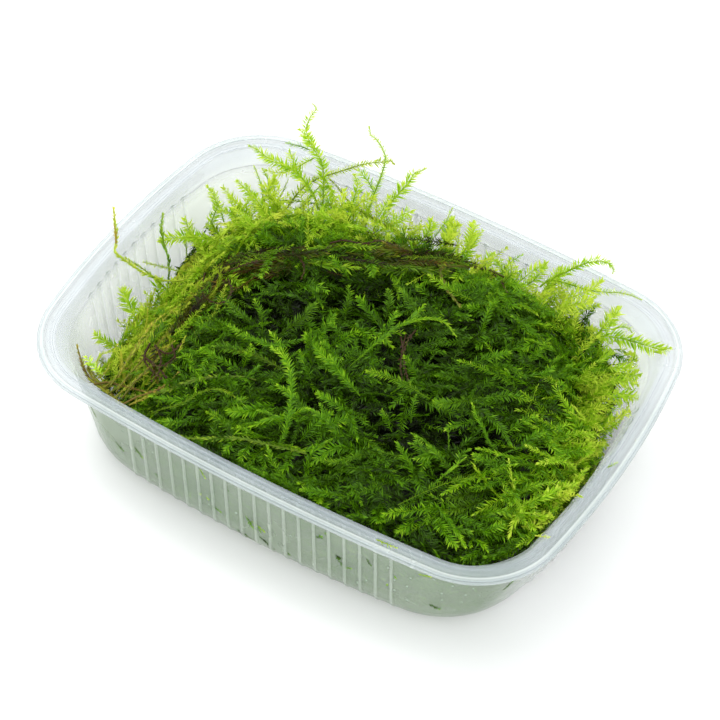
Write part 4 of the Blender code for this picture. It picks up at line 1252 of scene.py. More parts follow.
# Corners of each triangle of a flat and of a boat-shaped leaf, and how much brighter each corner is
FLAT_LEAF = np.array([(0, 1, 3), (0, 3, 2)])
FLAT_TONES = np.array([-0.05, 0.0, 0.0, 0.07])
BOAT_LEAF = np.array([(0, 1, 2), (1, 4, 2), (0, 2, 3), (2, 4, 3)])
BOAT_TONES = np.array([-0.05, 0.0, -0.03, 0.0, 0.07])
# Spread of the leaves' tones, how much brighter the bud is, and the leaves' ages beside the shoot's
TONE_SPREAD = 0.07
BUD_TONE = 0.06
LEAF_AGES = (0.6, 1.3)
# Shoots are grown in groups of like length: how many groups, the fewest leaves, the length of a piece
# of stem, and the limits of their number
GROUPS = 5
FEWEST_LEAVES = 14
SEGMENT = 3.5
SEGMENTS = (4, 26)


class Strands:
    """Collects shoots as plain triangles, each corner with its tone and age."""

    def __init__(self):
        self.places, self.faces, self.tones, self.ages = [], [], [], []
        self.count = 0

    def add(self, places, faces, tone, age):
        places = places.reshape(-1, 3)
        self.places.append(places)
        self.faces.append(faces.reshape(-1, 3) + self.count)
        self.tones.append(np.broadcast_to(tone, len(places)) if np.ndim(tone) < 2 else tone.ravel())
        self.ages.append(np.broadcast_to(age, len(places)) if np.ndim(age) < 2 else age.ravel())
        self.count += len(places)

    def piece(self, name, material, slot, replaced=(), clear=LEAF_CLEAR):
        """Makes the mesh, with tone and age also as a map, so that colour follows each leaf."""
        places = np.concatenate(self.places)
        if clear is not None:
            places = hold_inside(places, clear, lift_over=True)
        faces = np.concatenate(self.faces)
        tones = np.clip(np.concatenate(self.tones), 0, 1).astype(np.float32)
        ages = np.clip(np.concatenate(self.ages), 0, 1).astype(np.float32)
        mesh = bpy.data.meshes.new(name)
        mesh.vertices.add(len(places))
        mesh.vertices.foreach_set("co", (places * MM).astype(np.float32).ravel())
        mesh.loops.add(faces.size)
        mesh.loops.foreach_set("vertex_index", faces.astype(np.int32).ravel())
        mesh.polygons.add(len(faces))
        mesh.polygons.foreach_set("loop_start", np.arange(0, faces.size, 3, dtype=np.int32))
        for title, values in (("tone", tones), ("age", ages)):
            layer = mesh.attributes.new(title, "FLOAT", "POINT")
            layer.data.foreach_set("value", values)
        chart = mesh.uv_layers.new(name="OFBake")
        corner = faces.ravel()
        spread = np.tile(np.array(MAP_CORNERS), (len(faces), 1))
        uv = np.stack([tones[corner], ages[corner]], 1) * MAP_SHARE + MAP_EDGE + spread
        chart.data.foreach_set("uv", uv.astype(np.float32).ravel())
        mesh.update(calc_edges=True)
        add_piece(name, mesh, material, replaced)
        print(name, len(faces), "triangles")


def follow(points, t):
    """Places and directions along smooth curves through 3 or 4 points each. points is (n, k, 3)."""
    if points.shape[1] == 3:
        root, middle, tip = points[:, 0], points[:, 1], points[:, 2]
        pull = 2 * middle - (root + tip) / 2
        points = np.stack([root, pull, tip], 1)
    line = [points[:, k, None, :] for k in range(points.shape[1])]
    t = t[..., None] if t.ndim == 2 else t[None, :, None]
    while len(line) > 2:
        line = [a * (1 - t) + b * t for a, b in zip(line, line[1:])]
    return line[0] * (1 - t) + line[1] * t, unit(line[1] - line[0])


def wander(points, t, waves):
    """A little sideways waviness that is nothing at the root: (n, m, 3)."""
    phase, size, speed = waves
    t = t if t.ndim == 2 else t[None, :]
    share = t[..., None]
    swing = [np.sin(speed[:, None, k] * t * 6.0 + phase[:, None, k]) - np.sin(phase[:, None, k])
             for k in range(3)]
    return points + np.stack(swing, -1) * size[:, None, None] * share


def blend(points, t):
    """Smooth curve through any number of points, for stems: (1, k, 3) to (1, m, 3)."""
    line = points[0]
    run = np.concatenate([[0.0], np.cumsum(np.linalg.norm(np.diff(line, axis=0), axis=1))])
    run /= run[-1]
    padded = np.vstack([2 * line[0] - line[1], line, 2 * line[-1] - line[-2]])
    spot = np.clip(np.searchsorted(run, t, side="right") - 1, 0, len(line) - 2)
    u = ((t - run[spot]) / (run[spot + 1] - run[spot]))[:, None]
    a, b, c, d = (padded[spot + k] for k in range(4))
    place = 0.5 * (2 * b + (c - a) * u + (2 * a - 5 * b + 4 * c - d) * u * u
                   + (3 * b - a - 3 * c + d) * u ** 3)
    ahead = unit(np.gradient(place, axis=0))
    return place[None], ahead[None]


def along(points, t):
    """Places and directions along lines of any number of points."""
    if points.shape[1] > 4:
        order = np.argsort(t[0]) if t.ndim == 2 else np.arange(len(t))
        place, ahead = blend(points, (t[0] if t.ndim == 2 else t)[order])
        back = np.empty_like(order)
        back[order] = np.arange(len(order))
        return place[:, back], ahead[:, back]
    return follow(points, t)


def grow(strands, points, widths, facing, tone, age, spacing=0.25, lean=50.0, **looks):
    """Adds leafy shoots, in groups of like length so that the leaves stay evenly spaced."""
    lengths = np.linalg.norm(np.diff(points, axis=1), axis=2).sum(1)
    lean = np.broadcast_to(lean, len(points))
    for rows in np.array_split(np.argsort(lengths), min(GROUPS, len(points))):
        leaves = max(FEWEST_LEAVES, int(lengths[rows].mean() / spacing))
        segments = int(np.clip(lengths[rows].mean() / SEGMENT, *SEGMENTS))
        grow_group(strands, points[rows], widths[rows], facing[rows], tone[rows], age[rows], leaves,
                   segments, lean[rows], **looks)


def grow_one(strands, points, width, facing, tone, age, **looks):
    """Adds one leafy shoot or stem."""
    grow(strands, points, np.array([width]), facing, np.array([tone]), np.array([age]), **looks)


def grow_group(strands, points, widths, facing, tone, age, leaves, segments, lean, stem=0.24,
               leaf_shape=0.19, boat=False, gain=0.16, stem_tone=0.06, stem_age=0.2, waves=0.5, bud=6,
               outline=(1.0, 1.0)):
    """Shoots of one leaf count: a three-sided stem, rows of pointed leaves and a bud at the tip."""
    n = len(points)
    wave = (rng.uniform(0, 6.28, (n, 3)), rng.uniform(0.2, 1.0, n) * waves,
            rng.uniform(0.7, 1.6, (n, 3)))
    t = np.linspace(0, 1, segments + 1)
    place, ahead = along(points, t)
    place = wander(place, t, wave)
    side = unit(np.cross(ahead, facing[:, None, :]))
    up = np.cross(side, ahead)
    radius = stem * (1 - STEM_TAPER * t)
    corners = []
    for turn in STEM_TURNS:
        a = math.radians(turn)
        offset = math.cos(a) * side + math.sin(a) * up
        corners.append(place + offset * radius[None, :, None])
    tube = np.stack(corners, 2)
    index = np.arange(n * (segments + 1) * 3).reshape(n, segments + 1, 3)
    near, far = index[:, :-1], index[:, 1:]
    near_next, far_next = np.roll(near, -1, 2), np.roll(far, -1, 2)
    faces = np.concatenate([
        np.stack([near, near_next, far_next], -1).reshape(-1, 3),
        np.stack([near, far_next, far], -1).reshape(-1, 3),
    ])
    tone_line = tone[:, None] + stem_tone + gain * smooth(t, 0.4, 1.0)[None, :]
    age_line = np.repeat((age + stem_age)[:, None], segments + 1, 1)
    strands.add(tube, faces, np.repeat(tone_line, 3, 1), np.repeat(age_line, 3, 1))
    # leaves: two rows at the sides, one on top
    slots = np.arange(leaves)
    budding = slots >= leaves - bud
    t = np.where(budding, BUD_START + BUD_SPAN * (slots - leaves + bud) / max(bud, 1),
                 (slots + 0.5) / (leaves - bud) * LEAF_SPAN)
    t = BARE_SHARE + (1 - BARE_SHARE) * t[None, :]
    t = np.clip(t + np.where(budding, 0, rng.uniform(-0.4, 0.4, (n, leaves)) / leaves), 0.0, 0.998)
    place, ahead = along(points, t)
    place = wander(place, t, wave)
    side = unit(np.cross(ahead, facing[:, None, :]))
    up = np.cross(side, ahead)
    row = slots % 3
    flip = np.where((slots // 3) % 2 == 0, 1.0, -1.0)
    lateral = row < 2
    turn = np.choose(row, [0.0, math.pi, math.pi / 2])[None, :] + np.where(
        lateral, rng.normal(0.15, 0.22, (n, leaves)) * np.where(row == 0, 1, -1),
        flip[None, :] * rng.uniform(0.1, 0.75, (n, leaves)),
    )
    out = np.cos(turn)[..., None] * side + np.sin(turn)[..., None] * up
    angle = np.radians(lean)[:, None] * (1 - 0.3 * smooth(t, 0.8, 1.0))
    angle = angle + rng.normal(0, LEAN_SPREAD, (n, leaves))
    angle = np.where(lateral, angle, angle * TOP_ROW_LEAN)
    angle = np.where(budding, angle * rng.uniform(*BUD_LEANS, (n, leaves)), angle)
    way = np.cos(angle)[..., None] * ahead + np.sin(angle)[..., None] * out
    taper = np.minimum(1.0, 0.55 + 2.2 * (t - BARE_SHARE)) * (1 - 0.4 * smooth(t, 0.75, 1.0))
    taper = taper * np.interp(t, np.linspace(0, 1, len(outline)), outline)
    long = (widths / 2 / np.sin(np.radians(lean)))[:, None] * taper
    long = long * rng.uniform(*LEAF_SIZES, (n, leaves)) * np.where(lateral, 1.0, TOP_ROW_SIZE)
    broad = long * leaf_shape * np.where(budding, BUD_BREADTH, 1.0) * 0.5
    flat = up + rng.normal(0, FACE_SPREAD, (n, leaves, 3))
    across = unit(np.cross(way, flat))
    keel = np.cross(across, way)
    long, broad = long[..., None], broad[..., None]
    left = place + way * long * BROADEST + across * broad + keel * broad * EDGE_RISE
    right = place + way * long * BROADEST - across * broad + keel * broad * EDGE_RISE
    tip = place + way * long - keel * long * TIP_DROP
    tone_leaf = tone[:, None] + gain * smooth(t, 0.3, 1.0) + rng.normal(0, TONE_SPREAD, (n, leaves))
    tone_leaf = tone_leaf + np.where(budding, BUD_TONE, 0.0)
    age_leaf = age[:, None] * rng.uniform(*LEAF_AGES, (n, leaves))
    if boat:
        middle = place + way * long * FOLD_PLACE - keel * broad * FOLD_DEPTH
        verts = np.stack([place, left, middle, right, tip], 2)
        shape, rise = BOAT_LEAF, BOAT_TONES
    else:
        verts = np.stack([place, left, right, tip], 2)
        shape, rise = FLAT_LEAF, FLAT_TONES
    corners = verts.shape[2]
    start = np.arange(n * leaves) * corners
    faces = (start[:, None, None] + shape[None]).reshape(-1, 3)
    strands.add(
        verts, faces,
        (tone_leaf[..., None] + rise).reshape(n, -1),
        np.repeat(age_leaf[..., None], corners, 2).reshape(n, -1),
    )


def branched(points, widths, facing, tone, age, lean, share):
    """The shoots with some side branches added, which leave them at a sharp angle."""
    rows = [np.arange(len(points))]
    made = [points]
    for k in range(BRANCH_ROUNDS):
        pick = np.flatnonzero(rng.uniform(0, 1, len(points)) < share)
        t = rng.uniform(*BRANCH_PLACES, (len(pick), 1))
        place, ahead = follow(points[pick], t)
        place, ahead = place[:, 0], ahead[:, 0]
        side = unit(np.cross(ahead, facing[pick])) * rng.choice((-1.0, 1.0), (len(pick), 1))
        turn = np.radians(rng.uniform(*BRANCH_ANGLES, (len(pick), 1)))
        way = unit(ahead * np.cos(turn) + side * np.sin(turn) + facing[pick] * 0.15)
        span = np.linalg.norm(points[pick, 2] - points[pick, 0], axis=1)[:, None]
        reach = span * rng.uniform(*BRANCH_LENGTHS, (len(pick), 1))
        end = place + way * reach + ahead * reach * 0.2
        middle = place + way * reach * 0.55
        spots = hold_inside(np.concatenate([place, middle, end]))
        made.append(np.stack(np.split(spots, 3), 1))
        rows.append(pick)
    rows = np.concatenate(rows)
    shrink = np.where(np.arange(len(rows)) < len(points), 1.0, BRANCH_WIDTH)
    return (np.concatenate(made), widths[rows] * shrink, facing[rows], tone[rows], age[rows],
            np.broadcast_to(lean, len(points))[rows])


def turned(way, spread, count=1):
    """Directions for shoots to face, each a little off the way that is given."""
    return unit(np.array(way) + rng.normal(0, spread, (count, 3)))


def surface_normal(x, y, step=2.0):
    """Which way the mat's surface faces."""
    slope_x = (crown(x + step, y) - crown(x - step, y)) / (2 * step)
    slope_y = (crown(x, y + step) - crown(x, y - step)) / (2 * step)
    return unit(np.stack([-slope_x, -slope_y, np.ones_like(x)], -1))


def lying_shoots(xy, heading, length, depth, arch, lift):
    """Three points per shoot: root, middle and tip, that follow the mat's surface."""
    way = np.stack([np.cos(heading), np.sin(heading)], 1)
    bow = np.stack([-way[:, 1], way[:, 0]], 1) * (rng.normal(0, 0.09, len(xy)) * length)[:, None]
    rows = []
    for share, offset in ((-0.5, -depth), (0.0, arch), (0.5, lift)):
        spot = xy + way * (length * share)[:, None] + bow * (share == 0.0)
        z = crown(spot[:, 0], spot[:, 1]) + offset
        rows.append(hold_inside(heaped(np.stack([spot[:, 0], spot[:, 1], z], 1))))
    return np.stack(rows, 1)


def fresh_and_backlit(x, y):
    """How much the moss is lightened, for fresher growth and painted backlight: most at the back,
    the right, the upper left and the left edge.
    """
    back = smooth(y - edge_at(BACK_EDGE, x), -15, -3)
    right = smooth(x, 50, 74) * smooth(y, -56, -20)
    left = smooth(-x, 32, 64) * smooth(y, -22, 22)
    side = SIDE_BRIGHT * smooth(left_edge(y, 30.0) - x, -15, -4)
    corner = CORNER_BRIGHT * smooth(-x, 30, 56) * smooth(y, 4, 28)
    return np.maximum(np.maximum(np.maximum(back, right), left), side) + corner


def heading_for(xy):
    """Directions: most lie across the tub as seen from the front right, some run outwards."""
    n = len(xy)
    outward = np.arctan2(xy[:, 1] * 1.2, xy[:, 0])
    across = IMAGE_RIGHT + rng.normal(0, 0.55, n) + rng.choice((0.0, math.pi), n, p=(0.4, 0.6))
    free = rng.uniform(-math.pi, math.pi, n)
    take = rng.uniform(0, 1, n)
    outward = outward + rng.normal(0, 0.6, n)
    return np.where(take < OUTWARD_SHARE, outward, np.where(take < ACROSS_SHARE, across, free))


def patches(x, y):
    """Slow changes of tone over the mat, about -1 to 1."""
    return (np.sin(x * 0.11 + 1.3) * np.cos(y * 0.13 - 0.6) + np.sin(x * 0.05 - y * 0.09 + 2.1)) / 2


def traced_marks():
    """Pixels and nearness of points along the shoots that are traced on the mat."""
    rows = []
    for traced in TRACED_ON_MAT:
        line = on_mat([traced[:3]], np.array([traced[-3:]]))
        rows.append(follow(line, np.linspace(0, 1, 8))[0][0])
    for traced in TRACED_LONG:
        lift, pixels = traced[-2:]
        rows.append(blend(on_mat([pixels], lift), np.linspace(0, 1, 20))[0][0])
    return in_view(np.concatenate(rows))


def hiding(points, marks, reach):
    """Which shoots pass in front of a traced one, as the camera sees them."""
    seen, near = in_view(follow(points, np.linspace(0, 1, 7))[0])
    gap = np.linalg.norm(seen[:, :, None] - marks[0][None, None], axis=-1)
    return ((gap < reach) & (near[:, :, None] > marks[1] - 0.5)).any(2).sum(1) > 1


def make_layer(name, count, material, length, depth, arch, lift, tone, fresh_and_backlit_gain, age=(0.0, 0.2),
               width=(3.0, 5.5), painted_hollow_shade=0.22, parts=1, spread=1.0, spacing=0.25, branches=0.0,
               marks=None):
    """One layer of the mat, as one or more pieces split along X.

    Pairs are the limits between which each shoot's length, its root's depth, its middle's and tip's
    height above the mat, its tone, age and width are drawn.
    """
    xy = scatter(count, spread)
    xy = xy[np.argsort(xy[:, 0])]
    for part, rows in enumerate(np.array_split(np.arange(count), parts)):
        here = xy[rows]
        n = len(here)
        points = lying_shoots(
            here, heading_for(here), rng.uniform(*length, n), rng.uniform(*depth, n),
            rng.uniform(*arch, n), rng.uniform(*lift, n),
        )
        if marks is not None:
            shown = ~hiding(points, marks, MARK_REACH)
            points, n = points[shown], shown.sum()
        x, y = points[:, 1, 0], points[:, 1, 1]
        # Tones: lightened for fresher growth and painted backlight, darkened in the hollows as painted
        # shade
        tones = (rng.uniform(*tone, n) + fresh_and_backlit_gain * fresh_and_backlit(x, y) - painted_hollow_shade * shade_of(x, y)
                 + PATCH_TONE * patches(x, y))
        ages = rng.uniform(*age, n) ** 2 * 2.5 + 0.25 * smooth(-x, 35, 60) * rng.uniform(0, 1, n)
        facing = turned(surface_normal(x, y), 0.4, n)
        widths = rng.uniform(*width, n)
        leans = rng.uniform(*LAYER_LEAN, n)
        rope = rng.uniform(0, 1, n) < ROPE_SHARE
        widths = np.where(rope, widths * ROPE_WIDTH, widths)
        leans = np.where(rope, ROPE_LEAN, leans)
        strands = Strands()
        *shoots, lean = branched(points, widths, facing, tones, ages, leans, branches)
        grow(strands, *shoots, lean=lean, spacing=spacing)
        title = name if parts == 1 else f"{name}_{'abcdef'[part]}"
        strands.piece(title, material, "moss_green")


def make_wall_moss(material, count=330):
    """Shoots pressed against the inside of the walls, seen through the plastic from the sides."""
    around = rng.uniform(-math.pi, math.pi, count)
    low = rng.uniform(*BY_WALL_LEVELS, count)
    length = rng.uniform(*BY_WALL_LENGTHS, count)
    slope = rng.normal(0, 0.35, count)
    rows = []
    for share in (-0.5, 0.0, 0.5):
        turn = around + share * length / OUTSIDE_REACH
        x, y = OUTSIDE[0] * np.cos(turn), OUTSIDE[1] * np.sin(turn)
        rim = crown(np.clip(x, -76, 76), np.clip(y, -55, 55)) - 3
        z = np.minimum(low, rim * 0.92) + slope * share * length
        z = np.clip(z, BY_WALL_LEVELS[0], BY_WALL_TOP)
        spot = hold_inside(np.stack([x, y, z], 1), SIDE_CLEAR)
        rows.append(hold_inside(heaped(spot, 1.5), SIDE_CLEAR))
    points = np.stack(rows, 1)
    outward = unit(points[:, 1] * (0.7, 1.2, 0.0))
    tones = rng.uniform(*BY_WALL_TONES, count)
    ages = rng.uniform(0, 0.45, count) ** 2 * 2
    widths = rng.uniform(*BY_WALL_WIDTHS, count)
    strands = Strands()
    grow(strands, points, widths, turned(outward, 0.3, count), tones, ages, spacing=0.34)
    strands.piece("moss_by_walls", material, "moss_green", clear=0.5)


def make_back_slope(material, count=190):
    """Shoots down the mat's back and left slopes, where they fall away to the wall."""
    x = rng.uniform(*SLOPE_ALONG, count)
    behind = edge_at(BACK_EDGE, x) - rng.uniform(0, 9, count)
    fall = rng.uniform(*SLOPE_FALL, count)
    heading = rng.normal(0.2, 0.7, count) + rng.choice((0.0, math.pi), count)
    length = rng.uniform(*SLOPE_LENGTHS, count)
    rows = []
    for share in (-0.5, 0.0, 0.5):
        px = x + np.cos(heading) * length * share
        py = behind + np.sin(heading) * length * share * 0.4
        top = crown(px, edge_at(BACK_EDGE, px) - 8)
        spot = np.stack([px, py, top - fall + 4 * share], 1)
        rows.append(hold_inside(heaped(spot, 1.2), SIDE_CLEAR))
    facing = turned(SLOPE_FACING, 0.35, count)
    widths = rng.uniform(*SLOPE_WIDTHS, count)
    tones = rng.uniform(*SLOPE_TONES, count)
    ages = rng.uniform(0, 0.3, count)
    strands = Strands()
    grow(strands, np.stack(rows, 1), widths, facing, tones, ages, spacing=0.28)
    strands.piece("moss_back_slope", material, "moss_green")


def make_traced_shoots(material, fringe_material):
    """The shoots that the photograph shows one by one."""
    strands = Strands()
    points = np.array([traced[2::-1] for traced in TRACED_ON_MAT], float)
    width, tone, age, tip, middle, root = np.array([traced[3:] for traced in TRACED_ON_MAT], float).T
    points = on_mat(points, np.stack([root, middle, tip], 1))
    facing = turned(MAT_FACING, 0.2, len(TRACED_ON_MAT))
    grow(strands, points, width * SHORT_WIDTH, facing, tone - SHORT_DARKER, age,
         lean=np.where(width < NARROW, 30.0, 54.0), stem=0.2, waves=0.3, **TRACED_LOOKS)
    for width, tone, age, lift, pixels in TRACED_LONG:
        points = on_mat([pixels], lift * np.minimum(1, np.linspace(0.4, 2.4, len(pixels))))
        grow_one(strands, points, width * LONG_WIDTH, turned(MAT_FACING, 0.15), tone - LONG_DARKER, age,
                 lean=30.0 if width < NARROW else 50.0, stem=0.24, waves=0.2, **TRACED_LOOKS)
    strands.piece("moss_traced", material, "moss_green")
    strands = Strands()
    for width, tone, age, root, tip, pixels in TRACED_STANDING:
        points = at_depth([pixels], np.linspace(root, tip, len(pixels)))
        bare = width < NEARLY_BARE
        grow_one(strands, points, width * FREE_WIDTH, turned(FREE_FACING, 0.15), tone, age, boat=True,
                 lean=28.0 if bare else 54.0, spacing=0.26 if bare else 0.22, gain=0.1,
                 stem=0.34 if bare else 0.26, stem_tone=-0.03, stem_age=0.1, waves=0.2)
    strands.piece("moss_fringe_traced", fringe_material, "moss_fresh")


def make_old_band(material, count=120):
    """Old olive-brown shoots that lie along one another over the back of the mat."""
    line = on_mat([OLD_BAND], OLD_BAND_LIFT)
    start = rng.uniform(0.0, 1.0, count) ** 0.8 * 0.88
    span = rng.uniform(*BAND_LENGTHS, count)
    rows = []
    shift = rng.normal(0, BAND_SPREAD, (count, 3)) * (1, 1, 0.55)
    for share in (0.0, 0.5, 1.0):
        t = np.clip(start + span * share, 0, 1)
        order = np.argsort(t)
        place = np.empty((count, 3))
        place[order] = blend(line, t[order])[0][0]
        rows.append(place + shift + rng.normal(0, 0.8, (count, 3)))
    points = np.stack(rows, 1)
    swap = rng.uniform(0, 1, count) < 0.5
    points[swap] = points[swap][:, ::-1]
    facing = turned(STEM_FACING, 0.3, count)
    strands = Strands()
    green = rng.uniform(0, 1, count) < GREEN_SHARE
    tones = np.where(green, rng.uniform(*GREEN_TONES, count), rng.uniform(*BROWN_TONES, count))
    ages = np.where(green, rng.uniform(*GREEN_AGES, count), rng.uniform(*BROWN_AGES, count))
    widths = rng.uniform(*BAND_WIDTHS, count)
    grow(strands, points, widths, facing, tones, ages, lean=rng.uniform(24, 48, count), gain=0.1)
    strands.piece("old_moss_band", material, "moss_green")


def thin_stem(strands, pixels, lift, width, tone, age, **looks):
    """Adds a stem that lies over the mat."""
    line = blend(on_mat([pixels], lift), np.linspace(0, 1, 12))[0]
    grow_one(strands, line, width, unit(np.array([STEM_FACING])), tone, age, stem_age=0.1, **looks)


def make_dark_stems(material):
    """Thin dark red-brown stems that lie over the mat."""
    strands = Strands()
    for thickness, lift, tone, pixels in DARK_STEMS:
        thin_stem(strands, pixels, lift, 1.1, tone, 1.0, spacing=0.5, stem=thickness / 2, lean=24.0,
                  leaf_shape=0.4, gain=0.05, waves=0.3, bud=2)
    strands.piece("dark_stems", material, "old_stem")


def make_tangle(material, count=58):
    """Thin olive and yellow stems, some with combs of leaves, that run along the mat's left edge."""
    strands = Strands()
    left, right = np.array(TANGLE_LEFT, float), np.array(TANGLE_RIGHT, float)
    marks = np.linspace(0, 1, len(left))
    for k in range(count):
        start = rng.uniform(0.0, 0.75)
        t = np.clip(start + rng.uniform(0.15, 0.5) * np.array((0.0, 0.5, 1.0)), 0, 1)
        across = rng.uniform(-0.05, 0.95) + rng.normal(0, 0.14, 3)
        pixels = [[np.interp(a, marks, left[:, c]) * (1 - b) + np.interp(a, marks, right[:, c]) * b
                   for c in (0, 1)] for a, b in zip(t, across)]
        points = on_mat([pixels], rng.uniform(0, 2.0) + np.array((0.0, 2.0, 3.5)))
        comb = rng.uniform() < COMB_SHARE
        width = rng.uniform(*(COMB_WIDTHS if comb else BARE_WIDTHS))
        facing = turned(TANGLE_FACING, 0.2)
        tone = rng.uniform(*TANGLE_TONES)
        age = rng.uniform(0.0, 0.2) if comb else rng.uniform(0.1, 0.5)
        grow_one(strands, points, width, facing, tone, age, boat=True, lean=52.0 if comb else 26.0,
                 spacing=0.24, gain=0.12, stem=0.26, stem_tone=0.0, stem_age=0.15, waves=0.8)
    strands.piece("left_tangle", material, "moss_fresh")


def make_depths(material):
    """The body under the shoots, a lumpy mass in painted shade below the mat's surface, down to the floor.
    """
    bm = bmesh.new()
    bmesh.ops.create_grid(bm, x_segments=64, y_segments=48, size=1.0)
    lumps = rng.normal(0, DEPTHS_LUMPS, len(bm.verts))
    square = np.array([vert.co for vert in bm.verts])
    sides, back, front = DEPTHS_FILL
    x, y = mat_place(square[:, 0] * sides, square[:, 1] * np.where(square[:, 1] > 0, back, front))
    rim = np.array([vert.is_boundary for vert in bm.verts])
    z = crown(x, y) - np.where(rim, DEPTHS_EDGE, DEPTHS_TOP) + lumps
    for vert, spot in zip(bm.verts, hold_inside(np.stack([x, y, z], 1), DEPTHS_CLEAR)):
        vert.co = Vector(spot) * MM
    edges = [edge for edge in bm.edges if edge.is_boundary]
    for z, clear in DEPTHS_SIDES:
        edges, verts = extruded(bm, edges)
        spots = np.array([vert.co for vert in verts]) / MM
        spots[:, 2] = np.minimum(z + rng.normal(0, 0.4, len(spots)), spots[:, 2] - 1.0)
        for vert, spot in zip(verts, hold_inside(spots, clear)):
            vert.co = Vector(spot) * MM
    bmesh.ops.holes_fill(bm, edges=edges)
    bmesh.ops.recalc_face_normals(bm, faces=bm.faces)
    if bm.calc_volume(signed=True) < 0:
        bmesh.ops.reverse_faces(bm, faces=bm.faces)
    add_piece("moss_depths_shade", smooth_mesh("moss_depths_shade", bm), material, ("moss_mat",))


def traced_line(depths, pixels):
    """The line of a shoot, traced at depths that are evenly spaced along it."""
    share = np.linspace(0, 1, len(pixels))
    return at_depth([pixels], np.interp(share, np.linspace(0, 1, len(depths)), depths))


def make_loose_shoots(material):
    """The shoots that stand clear, one piece each, in place of their plain solids."""
    for name in LEAFY_SHOOTS:
        if name in TRACED_LOOSE:
            widths, depths, pixels = TRACED_LOOSE[name]
            points = traced_line(depths, pixels)
        else:
            width, *line = PLAIN_SHOOTS[name]
            widths = (width, width)
            points = np.array([line], float)
        width = max(widths)
        strands = Strands()
        age = 0.25 if "brown" in name else 0.03
        grow_one(strands, points, width, turned(LOOSE_FACING, 0.12), 0.86, age, boat=True, gain=0.1,
                 spacing=0.18, stem=0.36, stem_tone=-0.04, stem_age=0.15, lean=54.0, waves=0.3,
                 outline=np.array(widths) / width)
        strands.piece("leafy_" + name[6:], material, "moss_fresh", (name,))


def make_bare_stems(material):
    """Nearly leafless stems, thin and set with short pressed leaves."""
    stems = [(*looks, traced_line(depths, pixels)) for *looks, depths, pixels in STANDING_STEMS]
    stems += [(*looks, on_mat([pixels], lift)) for *looks, lift, pixels in LYING_STEMS]
    facing = unit(np.array([LOOSE_FACING]))
    for name, thickness, tone, age, points in stems:
        strands = Strands()
        grow_one(strands, points, 1.5, facing, tone, age, spacing=0.26, stem=thickness * 0.28, boat=True,
                 gain=0.12, stem_tone=0.0, stem_age=0.1, lean=24.0, leaf_shape=0.3, waves=0.3)
        strands.piece("old_" + name, material, "old_stem", (name,))


def make_corner_stems(material):
    """The golden-brown bundle in the left corner, whose stems run on along the mat's left edge."""
    strands = Strands()
    for width, thickness, tone, age, lift, pixels in CORNER_STEMS:
        thin_stem(strands, pixels, lift, width, tone, age, spacing=0.3, stem=thickness,
                  lean=50.0 if age == 0 else 26.0, leaf_shape=0.3, gain=0.08, stem_tone=0.0, bud=3)
    strands.piece("corner_stems", material, "old_stem")


def make_fringe(material):
    """Loosely standing bright shoots along the back, the right and the upper left."""
    for part, (count, start, end, way, spread, length, tone) in enumerate(FRINGE_GROUPS):
        share = rng.uniform(0, 1, count)
        xy = np.array(start) * (1 - share[:, None]) + np.array(end) * share[:, None]
        xy = xy + rng.normal(0, FRINGE_SPREAD, (count, 2))
        z = crown(xy[:, 0], xy[:, 1]) - rng.uniform(0, FRINGE_DEPTH, count)
        root = heaped(np.stack([xy[:, 0], xy[:, 1], z], 1))
        heading = turned(way, spread, count)
        reach = rng.uniform(*length, count)[:, None]
        tip = root + heading * reach
        sag = rng.normal(0, 0.1, (count, 3)) + np.array((0, 0, 0.04))
        middle = (root + tip) / 2 + sag * reach
        points = hold_inside(np.stack([root, middle, tip], 1).reshape(-1, 3)).reshape(count, 3, 3)
        facing = turned(FRINGE_FACING, 0.5, count)
        strands = Strands()
        widths = rng.uniform(*FRINGE_WIDTHS, count)
        tones = rng.uniform(*tone, count)
        ages = rng.uniform(0, 0.15, count)
        leans = rng.uniform(*FRINGE_LEAN, count)
        *shoots, lean = branched(points, widths, facing, tones, ages, leans, FRINGE_BRANCHES)
        grow(strands, *shoots, lean=lean, boat=True, gain=0.14, spacing=0.28, stem_tone=-0.05)
        strands.piece(f"moss_fringe_{'abcd'[part]}", material, "moss_fresh")


def make_specks(material):
    """Bits of moss stuck to the front wall, at its outer face, and left on the rim."""
    strands = Strands()
    for x, z, x_end, z_end, width, tone, age in FLECKS:
        line = []
        for share in (0.0, 0.5, 1.0):
            place, out = front_wall(x + (x_end - x) * share, z + (z_end - z) * share, FLECK_CLEAR)
            line.append(place)
        grow_one(strands, np.array([line]), width, unit(out[None]), tone, age, spacing=0.22, stem=0.3,
                 leaf_shape=0.34, waves=0.0, bud=4)
    strands.piece("stuck_moss", material, "moss_green", clear=STUCK_CLEAR)
    strands = Strands()
    for width, tone, age, start, end in RIM_BITS:
        start, end = np.array(start), np.array(end)
        grow_one(strands, np.array([[start, (start + end) / 2, end]]), width,
                 np.array([[0.0, 0.0, 1.0]]), tone, age, spacing=0.3, stem=0.2, waves=0.1, bud=3)
    strands.piece("rim_bits", material, "moss_green", clear=None)


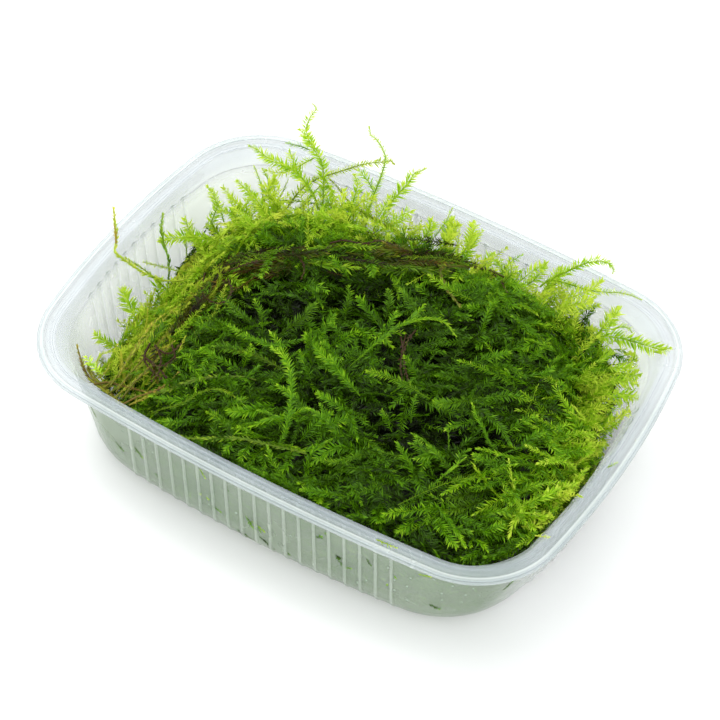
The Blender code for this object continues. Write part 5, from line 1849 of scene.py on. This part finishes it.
def make_drops(material):
    """Flattened water drops, set in the front wall and bulging from its outer face."""
    bm = bmesh.new()
    for x, z, radius in DROPS:
        place, out = front_wall(x, z, DROP_CLEAR)
        made = bmesh.ops.create_icosphere(bm, subdivisions=2, radius=radius * DROP_SIZE * MM)["verts"]
        turn = Vector(out).to_track_quat("Z", "Y").to_matrix()
        for vert in made:
            flat = Vector((vert.co.x, vert.co.y, vert.co.z * DROP_FLATNESS))
            vert.co = turn @ flat + Vector(place) * MM
    add_piece("water_drops", smooth_mesh("water_drops", bm), material)


make_camera()
make_studio()
wet_moss = moss_material("wet_moss", roughness=0.26, glow=0.3, gloss=0.14)
fringe_moss = moss_material("fringe_moss", roughness=0.4, glow=0.58, gloss=0.1)
stem_bark = moss_material("old_stem", roughness=0.45, glow=0.15, gloss=0.2, withered=BARK)
make_tub(plastic_material())
make_depths(depths_shade_material())
marks = traced_marks()
# The layers' tones rise from the bed to the top: partly older moss below, partly painted shade for depth
make_layer("moss_bed", 430, wet_moss, length=(22, 38), depth=(7, 11), arch=(-7, -3), lift=(-6, -1),
           tone=(0.06, 0.24), fresh_and_backlit_gain=0.22, age=(0.1, 0.5), spacing=0.36, width=(4.0, 6.0))
make_layer("moss_middle", 900, wet_moss, length=(18, 40), depth=(4, 8), arch=(-3, 1), lift=(-3, 3),
           tone=(0.12, 0.38), fresh_and_backlit_gain=0.34, parts=2, width=(2.8, 4.8), branches=0.1, painted_hollow_shade=0.4,
           marks=marks)
make_layer("moss_top", 560, wet_moss, length=(12, 32), depth=(3, 6), arch=(0, 3.5), lift=(0, 6),
           tone=(0.28, 0.52), fresh_and_backlit_gain=0.32, age=(0.0, 0.15), spacing=0.2, width=(2.5, 4.5), parts=2,
           spread=0.94, painted_hollow_shade=0.28, branches=0.3, marks=marks)
make_wall_moss(wet_moss)
make_back_slope(wet_moss)
make_old_band(wet_moss)
make_dark_stems(stem_bark)
make_traced_shoots(wet_moss, fringe_moss)
make_fringe(fringe_moss)
make_tangle(fringe_moss)
make_loose_shoots(fringe_moss)
make_bare_stems(stem_bark)
make_specks(wet_moss)
make_drops(water_material())
make_corner_stems(stem_bark)
